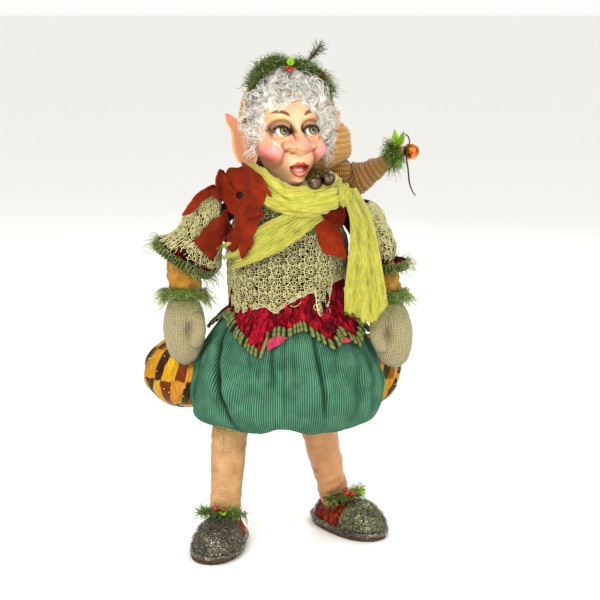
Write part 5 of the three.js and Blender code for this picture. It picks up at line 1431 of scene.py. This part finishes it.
def makeHead():
    f = faceForm
    cols, rows = 290, 220
    s = linspace(-1, 1, cols, endpoint=False)[None]
    crowd = np.sign(s) * np.interp(np.abs(s), [0, 0.72, 1], [0, 0.42, 1])
    azimuth = -math.pi / 2 + math.pi * crowd
    polar = np.radians(np.interp(linspace(0, 1, rows), [0, 0.12, 0.9, 1], [1.5, 58, 160, 178.5]))[:, None]
    way = directions(polar, azimuth)
    halves = stack([f["half"] + 0 * way[..., 0], np.where(way[..., 1] < 0, f["front"], f["back"]),
                    np.where(way[..., 2] < 0, f["chin"], f["crown"])], -1)
    p = way / np.linalg.norm(way / halves, axis=-1, keepdims=True)
    p[..., 0] *= 1 - f["jaw"] * smooth((-p[..., 2] - 15) / (f["chin"] - 15))
    x, z = p[..., 0], p[..., 2]
    ax = np.abs(x)
    facing = smooth((-way[..., 1] - 0.05) / 0.35)  # 0 behind the ears

    push = sum(out * blob(ax if paired else x, z, *form) for out, paired, *form in faceBumps.values())
    push = push - 2.2 * hump(ax, 9.0 + 0.25 * (z + 17), 1.3) * blob(x, z, 0, -16, 16, 7)  # beside the tip
    fold = 13.5 + 7.5 * clip((-18 - z) / 26, 0, 1) ** 0.8  # smile lines, from the wings down
    push = push - 2.6 * hump(ax, fold, 2.0) * smooth((-15 - z) / 7) * smooth((z + 52) / 14)
    for crease in (27, 32, 37):  # lines over the brow
        push = push - 0.35 * hump(z, crease + 0.02 * x ** 2 / 4, 0.9) * smooth((26 - ax) / 8)
    for lift, rise in ((-3, 0.25), (0.5, 0.45), (4, 0.45)):  # crow's feet
        push = push - 0.5 * hump(z, lift + (ax - 27) * rise, 0.8) * smooth((ax - 27.5) / 2) * \
            smooth((35 - ax) / 4)

    t, top, inTop, inLow, low = lipLines(x)
    inMouth = t < 1
    soft = lambda a: smooth(a / 0.9 + 0.5)
    upperLip = soft(top - z) * soft(z - inTop) * inMouth
    lowerLip = soft(inLow - z) * soft(z - low) * inMouth
    gap = soft(inTop - z) * soft(z - inLow) * smooth((1 - t) / 0.12)
    for out, lip, upper, lower in ((2.2, upperLip, top, inTop), (3.0, lowerLip, inLow, low)):
        share = clip((upper - z) / np.maximum(upper - lower, 0.5), 0.05, 1)
        push = push + out * sqrt(clip(lip, 0, 1)) * sin(math.pi * share) ** 0.5
    tongue = blob(x, z, mouthForm["x"], -46.2, 6, 2.1)
    push = push - gap * (6 - 4.6 * tongue)

    y = p[..., 1] - push * facing
    sidelong = 4.0 * np.sign(x) * blob(ax, z, 34, -25, 13, 14) * facing  # the cheeks' sides are full too
    e = eyeForm
    above, upperEdge, front = z > e["z"], z > e["z"] - 1, way[..., 1] < 0
    lashLine = np.zeros_like(x)
    for sign in (-1, 1):  # the lids lie on a ball, are thicker at their edges, and open on a hollow
        edge = eyeOpening(x, z, sign)
        far = np.hypot(x - sign * e["x"], z - e["z"])
        lidY = e["y"] - sqrt(np.maximum(e["lid"] ** 2 - far ** 2, 0))
        near = smooth((e["lid"] + 1.5 - far) / 3.0)
        over = np.where(above, 0.9, 0.35) * hump(edge, -1.2, 1.3)
        lid = np.minimum(y, lerp(y, lidY, near)) - over * near
        crease = np.where(above, 1.3 * hump(far, 13.2, 1.2), 0.8 * hump(far, 12.6, 1.1))
        lid = lid + crease * smooth((26 - np.abs(ax - 17)) / 6)
        hollow = smooth(edge / 0.9 + 0.35)
        y = np.where(front, lerp(lid, -27.0, hollow * near), y)
        line = np.where(upperEdge, hump(edge, -1.3, 2.3), 0.6 * hump(edge, 0.1, 0.55))
        lashLine = np.maximum(lashLine, line * near * front)
    noseDrop = 3.2 * blob(x, z, -0.4, -18, 9, 8, 2.6) * facing  # the nose's tip hangs over its underside
    lean = np.interp(z, *f["lean"]) * facing
    points = stack([x + lean + sidelong, y, z - noseDrop], -1)

    tint = np.broadcast_to(colour("#e6bd98"), points.shape).copy()

    def wash(code, amount):
        nonlocal tint
        tint = lerp(tint, colour(code), clip(amount, 0, 1)[..., None])
    wash("#c07d45", 0.45 * blob(ax, z, 17, 2, 15, 12))  # warm eye shadow, and painted shade in the sockets round the eyes
    wash("#e8b16a", 0.7 * blob(ax, z, 19, 13.5, 10, 4))
    wash("#e2777a", 0.85 * blob(ax, z, 29.5, -28, 14, 12, 2.6))  # rouged cheeks
    # a paler spot on each cheek's apple: a painted highlight
    wash("#f0a8a2", 0.55 * blob(ax, z, 27, -25, 6, 5))
    wash("#e0767c", 0.8 * blob(x, z, 2, -12.5, 7.5, 6.5, 2.6))  # rosy nose
    # painted shade in the smile lines
    wash("#a9602f", 0.6 * hump(ax, fold, 1.9) * smooth((-15 - z) / 7) * smooth((z + 50) / 14))
    # painted shade in the nostrils
    wash("#7c3f22", 0.75 * blob(ax, z, 7.5, -24.5, 3.6, 1.7))
    # painted shade in the crease beside the nose's tip
    wash("#a4592c", 0.6 * hump(ax, 9.0 + 0.25 * (z + 17), 1.2) * blob(x, z, 0, -18, 14, 6))
    # painted shade in the crease over the chin
    wash("#b9764d", 0.45 * blob(x, z, 0.5, -55, 9, 1.8))
    # painted shade in the creases round the nose's wings
    wash("#7a3c1c", 0.7 * hump(np.hypot(ax - 13.2, z + 17.5), 6.2, 1.1) * smooth((ax - 11) / 3) *
         smooth((-10 - z) / 4))
    brow = 20.6 - 0.034 * (ax - 19) ** 2
    thickBrow = 2.1 * smooth((ax - 7.5) / 3) * smooth((31 - ax) / 12)
    wash("#6b4528", 0.9 * smooth((thickBrow - np.abs(z - brow)) / 0.9 + 0.35) * (ax > 7.5) * (ax < 31))
    # a ring round each eye at its lids' creases; over the eye it is dark brown painted shade
    lidShade = np.maximum(*(hump(np.hypot(x - sgn * e["x"], z - e["z"]), 12.4, 2.2) for sgn in (-1, 1)))
    wash("#6b3f1f", 0.75 * lidShade * smooth((z - e["z"] + 3) / 4) * facing)
    wash("#d98f7a", 0.5 * lidShade * smooth((e["z"] - 2 - z) / 3) * facing)
    wash("#2c170b", 1.3 * lashLine)
    wash("#c4341d", 0.95 * upperLip)
    wash("#d8523c", 0.9 * lowerLip)
    # a pale pink spot on the lower lip: a painted highlight
    wash("#f4aca0", 0.85 * lowerLip * blob(x, z, mouthForm["x"], -49.8, 7, 1.9))
    # painted shade inside the open mouth
    wash("#8f150f", 0.95 * gap * (1 - tongue))
    # the tongue is pale pink with a painted highlight
    wash("#ffd2c8", 1.1 * gap * tongue)
    # painted shade along the top of the opening, under the upper lip
    wash("#8b1f14", 0.6 * hump(z, inTop, 0.6) * inMouth)
    tint = tint * (1 + 0.03 * wander(91, 8, 14, x, z))[..., None]
    makePiece("face", shell(fromHead(points)[::-1], tint=tint[::-1]), "skin", "head", ["head"],
              flip=True)


def makeEye(side):
    # rings about the line of sight, so pupil, iris and rim are true circles
    e = eyeForm
    sight = unit(array([0.26, -1.0, 0.22]))
    across = unit(np.cross(sight, [0, 0, 1.0]))
    lift = np.cross(across, sight)
    polar = np.radians(np.concatenate([linspace(0.6, 40, 60), linspace(43, 178, 30)]))[:, None]
    turn = fan(72)[None]
    degrees = np.degrees(polar)
    dome = 1 + 0.05 * smooth((30 - degrees) / 22)
    way = directions(polar, turn) @ stack([across, lift, sight])
    points = array([outward[side] * e["x"], e["y"], e["z"]]) + e["ball"] * dome[..., None] * way
    streaks = 1 + 0.25 * sin(23 * turn + 4 * sin(5 * turn)) * smooth((degrees - 12) / 6)
    tint = lerp(colour("#8b7f4a"), colour("#454628"), smooth((degrees - 14) / 14)[..., None])
    tint = tint * streaks[..., None]
    # painted light on the iris's lower side, across from the glint
    paintedIrisLight = hump(turn, 4.9, 0.7) * hump(degrees, 21, 5)
    # a painted highlight
    glint = blob(degrees, turn, 15, 2.3, 5, 0.4)
    rim = hump(degrees, 30.4, 2.4)
    for code, share in (("#d8c376", 0.6 * paintedIrisLight), ("#f0e8dc", degrees >= 31),  # the white round the iris, off-white and a little greyed as painted shade from the lids
                        # the white darkens towards the back of the ball: painted shade
                        ("#94705a", smooth((degrees - 42) / 20)), ("#1c140d", 0.95 * rim),
                        ("#0c0a09", smooth((13.5 - degrees) / 1.5)), ("#ffffff", 0.95 * glint)):
        tint = lerp(tint, colour(code), share[..., None])
    makePiece("eyeball_" + side, shell(fromHead(points), tint=tint), "eye", "head", ["eye_" + side])


earForm = {"line": [(-41, -46), (-45, -38), (-47, -22), (-50, -6), (-57.5, 5), (-67, 16.5)],  # x and height
           "half": (7, 13, 15.5, 13, 10.5, 2.4), "depth": (2.5, 4.5, 5, 4.6, 3.4, 1.4), "sweep": 14}


def makeEar(side):
    # stations from lobe to tip, each a crescent: a cup that opens forward, with a rolled rim
    flip = outward[side]
    line = along([(x, 0, z) for x, z in earForm["line"]], 90)
    middleX, middleZ = line[:, :1], line[:, 2:]
    share = down(0, 1, len(line))
    place = linspace(0, 1, len(earForm["line"]))
    half = np.interp(share, place, earForm["half"]) * sqrt(clip(smooth(share / 0.1), 0.1, 1))
    depth = np.interp(share, place, earForm["depth"])
    turn = fan(64)[None]
    q = cos(turn)
    wall = 1.5 + 0.9 * hump(np.abs(q), 0.86, 0.16)
    cup = depth * 1.5 * (1 - q ** 2) ** 0.8
    inner = clip(-sin(turn), 0, 1)
    sweep = math.radians(earForm["sweep"])
    outDir = array([-math.cos(sweep), math.sin(sweep), 0])
    backDir = array([math.sin(sweep), math.cos(sweep), 0])
    middle = stack([middleX, (-middleX - 30) * math.tan(sweep) + 0 * middleX, middleZ], -1)
    ridge = 0.8 * hump(q, -0.25, 0.16) * inner * smooth((share - 0.2) / 0.2)
    back = cup - 3 + wall * sin(turn) - ridge
    points = middle + (half * q)[..., None] * outDir + back[..., None] * backDir
    tint = np.broadcast_to(colour("#edc19c"), points.shape)
    rosy = 0.45 * smooth((share - 0.7) / 0.3) + 0.25 * smooth((0.2 - share) / 0.2)
    # painted shade inside the ear's cup
    tint = lerp(tint, colour("#b6744b"), 0.75 * (inner * smooth((1 - np.abs(q)) / 0.5))[..., None])
    tint = lerp(tint, colour("#df8d7c"), rosy[..., None])
    points[..., 0] *= -flip
    makePiece("resin_ear_" + side, shell(fromHead(points), tint=tint), "skin", "head",
              ["ear_" + side], flip=side == "left")


def makeLashes():
    # short dark strands along both upper lids' edges
    e, n = eyeForm, 22
    roots, ways = [], []
    for sign in (-1, 1):
        t = linspace(-0.95, 0.95, n)
        x = sign * e["x"] + t * e["wide"]
        z = e["z"] + 0.08 * (x * sign - e["x"]) + e["up"] * (1 - t ** 2) ** 0.62
        far = np.hypot(x - sign * e["x"], z - e["z"])
        y = e["y"] - sqrt(np.maximum(e["lid"] ** 2 - far ** 2, 0)) - 0.6
        roots.append(stack([x, y, z], 1))
        ways.append(stack([0.5 * t, -0.9 + 0 * t, 0.35 + 0.3 * (1 - t ** 2)], 1))
    rng = seeded(95)
    lashes = tuft(rng, np.vstack(roots), np.vstack(ways), 2.6, 0.17, ("#1e120b", "#2b1a10"), droop=-0.4)
    lashes["verts"] = fromHead(lashes["verts"])
    makePiece("eyelashes", lashes, "moss", "head")


makeHead()
makeLashes()
for side in sides:
    makeEye(side)
    makeEar(side)
print("head made")

# hair, hat and its garland
hairForm = {"half": (47.5, 43, 60), "centre": (2.5, -4, 4), "locks": 310,
            # the face's opening in the hair: heights and x of both edges
            "leftEdge": ([-60, -22, -15, -2, 10, 20, 26, 36, 41], [-46, -44, -40, -36, -35, -28, -17, -1, 1]),
            "rightEdge": ([-60, -33, -23, -12, -4, 11, 21, 25, 33, 41],
                          [42, 42, 38, 33, 30, 29, 23, 13, 6, 3]),
            "ends": (-13, -33), "hairsPerLock": 9, "steps": 12}


def hairSurface(azimuth, polar, out=0.0):  # the outside of the hair, a lumpy ellipsoid
    half = array(hairForm["half"]) + out
    lump = 1 + 0.06 * wander(101, 9, 0.8, 2 * cos(azimuth) * sin(polar), 2 * sin(azimuth),
                             2 * cos(polar))
    return array(hairForm["centre"]) + directions(polar, azimuth) * half * lump[..., None]


def hairKeeps(points):  # hair grows where the face doesn't show: beside it, and over the brow in a peak
    x, y, z = points[..., 0], points[..., 1], points[..., 2]
    h = hairForm
    beside = (x < np.interp(z, *h["leftEdge"])) | (x > np.interp(z, *h["rightEdge"]))
    return (beside | (z > 38) | (y > -8)) & (z > np.where(x < 0, *h["ends"]))


def makeHair():
    rng = seeded(102)
    polar = np.radians(linspace(8, 132, 90))[:, None]
    azimuth = np.radians(linspace(-182, 2, 120))[None]
    base = hairSurface(azimuth, polar, -4)
    # under the brow's edge the base sinks into the head, so only locks show beside the face
    sink = np.where(hairKeeps(base), 0.0, 1.0)
    for _ in range(3):
        sink = (sink + sum(np.roll(sink, step, axis) for axis in (0, 1) for step in (1, -1))) / 5
    base = base * (1 - 0.30 * smooth(sink * 1.6 - 0.25)[..., None])
    shade = colour("#e4dfd4") * (1 + 0.12 * wander(103, 7, 9, base[..., 0], base[..., 2]))[..., None]
    under = gridSkin(fromHead(base), tint=shade)

    n = hairForm["locks"]
    az, pol = np.radians(rng.uniform(-200, 20, 6 * n)), np.radians(rng.uniform(10, 130, 6 * n))
    roots = hairSurface(az, pol, -3)
    keep = hairKeeps(roots) & (roots[:, 1] < 6)
    roots, az = roots[keep][:n], az[keep][:n]
    away = unit(roots)
    ways = 0.35 * away + 0.9 * unit(np.cross(away, rng.normal(size=roots.shape))) + [0, 0, -0.25]
    steps = hairForm["steps"]
    spine = fibres(rng, roots, ways, rng.uniform(11, 22, len(roots)), droop=0.12, curl=4.5, turns=0.9,
                   steps=steps)
    strands = []
    for _ in range(hairForm["hairsPerLock"]):  # each lock is a bundle of fine hairs round its spine
        loose = rng.normal(size=(len(roots), 1, 3)) * 1.5 * down(0.6, 2.0, steps)
        ripple = 0.8 * sin(down(0, 9, steps) + rng.uniform(0, 6, (len(roots), 1, 3)))
        strands.append(spine + loose + ripple)
    paths = np.concatenate(strands)
    # what would fall across the face is laid at the nearer edge of its opening
    x, y, z = paths[..., 0], paths[..., 1], paths[..., 2]
    left, right = np.interp(z, *hairForm["leftEdge"]), np.interp(z, *hairForm["rightEdge"])
    stray = rng.uniform(-2.5, 1.5, (len(paths), 1))
    across = (y < -12) & (x > left) & (x < right)
    aside = np.where(x[:, :1] < ((left + right) / 2)[:, :1], left + stray, right - stray)
    paths[..., 0] = np.where(across, aside, x)
    tint = shades(rng, len(paths), ("#fbf8f0", "#f0ece2", "#dfdacf", "#f5f1e8", "#fffdf8"), 0.05)
    hairs = strandSkin(fromHead(paths), linspace(0.42, 0.18, steps)[None], 3, tint=tint)
    makePiece("mohair_base", under, "mohair", "head", ["hair"])
    makePiece("mohair_locks", hairs, "mohair", "head")


hat = {"half": (53, 50, 60), "centre": (4, 17, 9), "bag": (48, 22, -22), "bagHalf": (40, 32, 34), "front": 2}


def makeHat():
    cx, cy, cz = hat["centre"]
    hx, hy, hz = hat["half"]
    start = math.asin((hat["front"] - cy) / hy)
    lean = down(start, math.pi / 2 - 0.02, 70)
    turn = fan(180)[None]
    rib = 0.5 * cos(60 * turn) * cos(lean)
    r = cos(lean)
    points = stack([cx + (hx * r + rib) * cos(turn), cy + hy * sin(lean) + 0 * turn,
                    cz + (hz * r + rib) * sin(turn)], -1)
    points[..., 2] = np.maximum(points[..., 2], -50 + 2 * sin(9 * turn))
    crown = gridSkin(fromHead(points), wrapAcross=True, capEnd=True, uvSize=(0.36, 0.08))
    lining = stack([points[0], points[0] * [0.95, 1, 0.95] + [0, 6, 0]])
    lining = gridSkin(fromHead(lining), wrapAcross=True)
    makePiece("hat_crown", joined(crown, lining), "hatKnit", "head", ["hat"])
    polar = down(0.04, math.pi - 0.04, 80)
    spin = fan(120)[None]
    ridge = 1 + 0.02 * sin(46 * polar + 2 * sin(2 * spin)) + \
        0.04 * wander(111, 6, 2.0, cos(spin) * sin(polar), sin(spin), polar)
    half = stack([hat["bagHalf"][0] * ridge, hat["bagHalf"][1] * ridge, hat["bagHalf"][2] + 0 * ridge], -1)
    bag = shell(fromHead(array(hat["bag"]) + half * directions(polar, spin))[::-1], uvSize=(0.23, 0.1))
    bag = makePiece("hat_bag", bag, "hatKnit", "head", flip=True)
    rimTurn = linspace(-0.4, math.pi + 0.1, 26)
    rim = stack([cx + hx * cos(rimTurn), 0 * rimTurn + 1, cz + (hz - 1) * sin(rimTurn)], 1)
    roll = tubeSkin(fromHead(rim), [4.5, 5.5, 4.5], 160, 20, up=(0, 1, 0), uvSize=(0.03, 0.3),
                    push=lambda s, a: 0.6 * sin(540 * s + a))
    makePiece("hat_rolled_edge", roll, "mustard", "head")


garland = {"line": [(-43, -6, 46), (-37, -11, 58), (-29, -16, 70), (-17, -20, 75), (-3, -21, 70),
                    (12, -20, 70), (29, -16, 62), (45, -9, 48), (51, -4, 37)],
           "fibres": 2600, "wisps": 260, "needles": 130,
           "colours": ("#6f8a4c", "#93a868", "#a9b880", "#566f3a", "#a5ad80", "#857f52"),
           "berries": [((-7, -29.5, 69), "#a0261c"), ((-2, -30, 68), "#8a2a18"),
                       ((-4.5, -31, 65.5), "#b23a22"), ((2, -28.5, 68), "#7d3a20")]}


def makeGarland():
    rng = seeded(121)
    line = along(garland["line"], 160)
    away = unit(line)
    n = garland["fibres"]
    pick = rng.integers(0, len(line), n)
    roots = line[pick] + rng.normal(size=(n, 3)) * [3.2, 2.6, 3.2]
    ways = away[pick] * 0.7 + rng.normal(size=(n, 3)) * 0.8
    fuzz = tuft(rng, roots, ways, 3 + 9 * rng.random(n) ** 1.5, 0.36, garland["colours"], droop=0.2, curl=1.3,
                turns=0.9)
    n = garland["wisps"]
    stray = rng.integers(0, len(line), n)
    wisps = tuft(rng, line[stray], away[stray] + rng.normal(size=(n, 3)) * 0.6, rng.uniform(12, 26, n), 0.2,
                 ("#95a56b", "#bcc497", "#6b7f4a"), droop=0.35, curl=3.0, turns=1.0, steps=9)
    core = tubeSkin(line[::8], [5, 6, 6, 5], 120, 14, up=(0, 1, 0), tint=colour("#3f4d22"),
                    push=lambda s, a: 1.2 * wander(122, 7, 0.05, s, a * 0.02))
    whole = joined(core, fuzz, wisps)
    whole["verts"] = fromHead(whole["verts"])
    makePiece("garland_moss", whole, "moss", "head", ["hat_garland"])

    root, tip = array([19.0, -17, 73]), array([37.0, -14, 91])
    bent = array([root, lerp(root, tip, 0.5) + [1, 0, -0.6], tip])
    stem = tubeSkin(fromHead(bent), [1.7, 1.3, 0.9], 20, 8)
    n = garland["needles"]
    roots = lerp(root, tip, rng.uniform(0.1, 1, (n, 1)))
    ways = (tip - root) / 22 + rng.normal(size=(n, 3)) * 0.75
    needles = tuft(rng, roots, ways, rng.uniform(7, 15, n), 0.36,
                   ("#6b6f52", "#8a8c6b", "#575a3e", "#9a9378"), droop=0.1, curl=0.5)
    needles["verts"] = fromHead(needles["verts"])
    makePiece("pine_twig", stem, "bark", "head", ["hat_pine_twig"])
    makePiece("pine_needles", needles, "moss", "head")
    leafAt = array([-4.0, -30.4, 71])
    makeLeaf("lime_leaf", fromHead(array([leafAt, leafAt + [1.5, -1.5, 10]])), 4.2, "#93c42e", "head",
             lift=(0, -1, 0.2))
    berries = [ballSkin(fromHead(array(at, float)), [2.6] * 3, 8, 12, tint=colour(code))
               for at, code in garland["berries"]]
    makePiece("garland_berries", joined(*berries), "berry", "head")
    scales = [(38 + r * math.cos(a), -20 + r * math.sin(a), 56 + h)
              for h in (0, 2, 4, 6) for r in [2.6 * (1 - h / 9)] for a in fan(6) + h]
    cone = [ballSkin(fromHead(array(at)), [1.7, 1.7, 1.1], 5, 8, tint=colour("#6b4426")) for at in scales]
    makePiece("garland_cone", joined(*cone), "moss", "head")


makeHair()
makeHat()
makeGarland()
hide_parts("hat_leaf")
print("hair, hat and garland made")

# hat tail with its moss, bell and curled wire
tail = {"path": [(60, 42, 447), (78, 46, 438), (100, 43, 448), (119, 39, 462)], "radii": (18, 20, 13, 8),
        "bell": (146, 35, 472), "bellRadius": 9.6, "moss": (125, 38, 469), "fibres": 900,
        "vine": [(138, 26, 493), (142, 24, 489), (143, 23.5, 481), (140, 25, 467), (142, 24, 451),
                 (144, 24, 435), (149, 24, 423), (152, 24, 421)],
        "blades": [((127, 33, 478), (126, 31, 498), "#8db52c"), ((131, 33, 478), (137, 31, 496), "#7fa32f"),
                   ((128, 34, 464), (134, 31, 452), "#6f9a3a")]}


def makeTail():
    ribs = lambda s, a: 0.8 * sin(150 * s + a) + \
        0.6 * wander(131, 6, 0.4, s, 0.1 * cos(a), 0.1 * sin(a))
    ball = ballSkin(tail["path"][0], [tail["radii"][0]] * 3, 40, 60, uvSize=(0.11, 0.06),
                    push=lambda w: 1 + 0.02 * sin(40 * w[..., 2]))
    whole = joined(tubeSkin(tail["path"], tail["radii"], 150, 70, push=ribs, uvSize=(0.09, 0.075)), ball)
    whole["tint"] = None
    makePiece("tail_knit", whole, "tailKnit", "hat_tail", ["hat_tail"])
    rng = seeded(132)
    n = tail["fibres"]
    centre = array(tail["moss"], float)
    roots = centre + rng.normal(size=(n, 3)) * [3.4, 3.4, 6.0]
    ways = (roots - centre) / 5 + rng.normal(size=(n, 3)) * 0.6 + [0, 0, 0.2]
    moss = tuft(rng, roots, ways, rng.uniform(5, 14, n), 0.36, droop=0.4, curl=1.2)
    core = ballSkin(centre, (7, 7, 11), 12, 16, tint=colour("#4a5f26"))
    makePiece("tail_tuft", joined(core, moss), "moss", "hat_tail", ["tail_moss"])
    for i, (*ends, code) in enumerate(tail["blades"]):
        makeLeaf("tail_blade_%d" % (i + 1), ends, 3.4, code, "hat_tail", lift=(0, -1, 0.1))
    makeBell("copper_bell", tail["bell"], tail["bellRadius"], 0, -80, "copper", "hat_tail", "tip_bell")
    wire = tubeSkin(tail["vine"], [0.7, 0.9, 0.9, 0.6], 120, 8, up=(0, 1, 0),
                    push=lambda s, a: 0.12 * sin(300 * s + a))
    link = tubeSkin([(132, 32, 468), (136, 28.5, 468.3), (140.2, 25, 468)], [1.0, 0.8], 12, 8)
    makePiece("curled_vine", joined(wire, link), "bark", "hat_tail", ["tip_vine"])


makeTail()
print("hat tail made")

# CAD nodes that stay get their finish in their own slots
staying = {"torso_body": "muslin", "armature_wire": "wire", "neck": "skinPlain", "tip_bell_pellet": "wire",
           "shoe_sole_right": "bark", "shoe_sole_left": "bark", "arm_wire_right": "wire",
           # the upper arms inside the sleeves take the velvet's painted-shade copy
           "arm_wire_left": "wire", "upper_arm_right": "velvetInShade", "upper_arm_left": "velvetInShade"}
for node, look in staying.items():
    for slot in frame["nodes"][node].material_slots:
        slot.material = finish[look]

print("all pieces made")
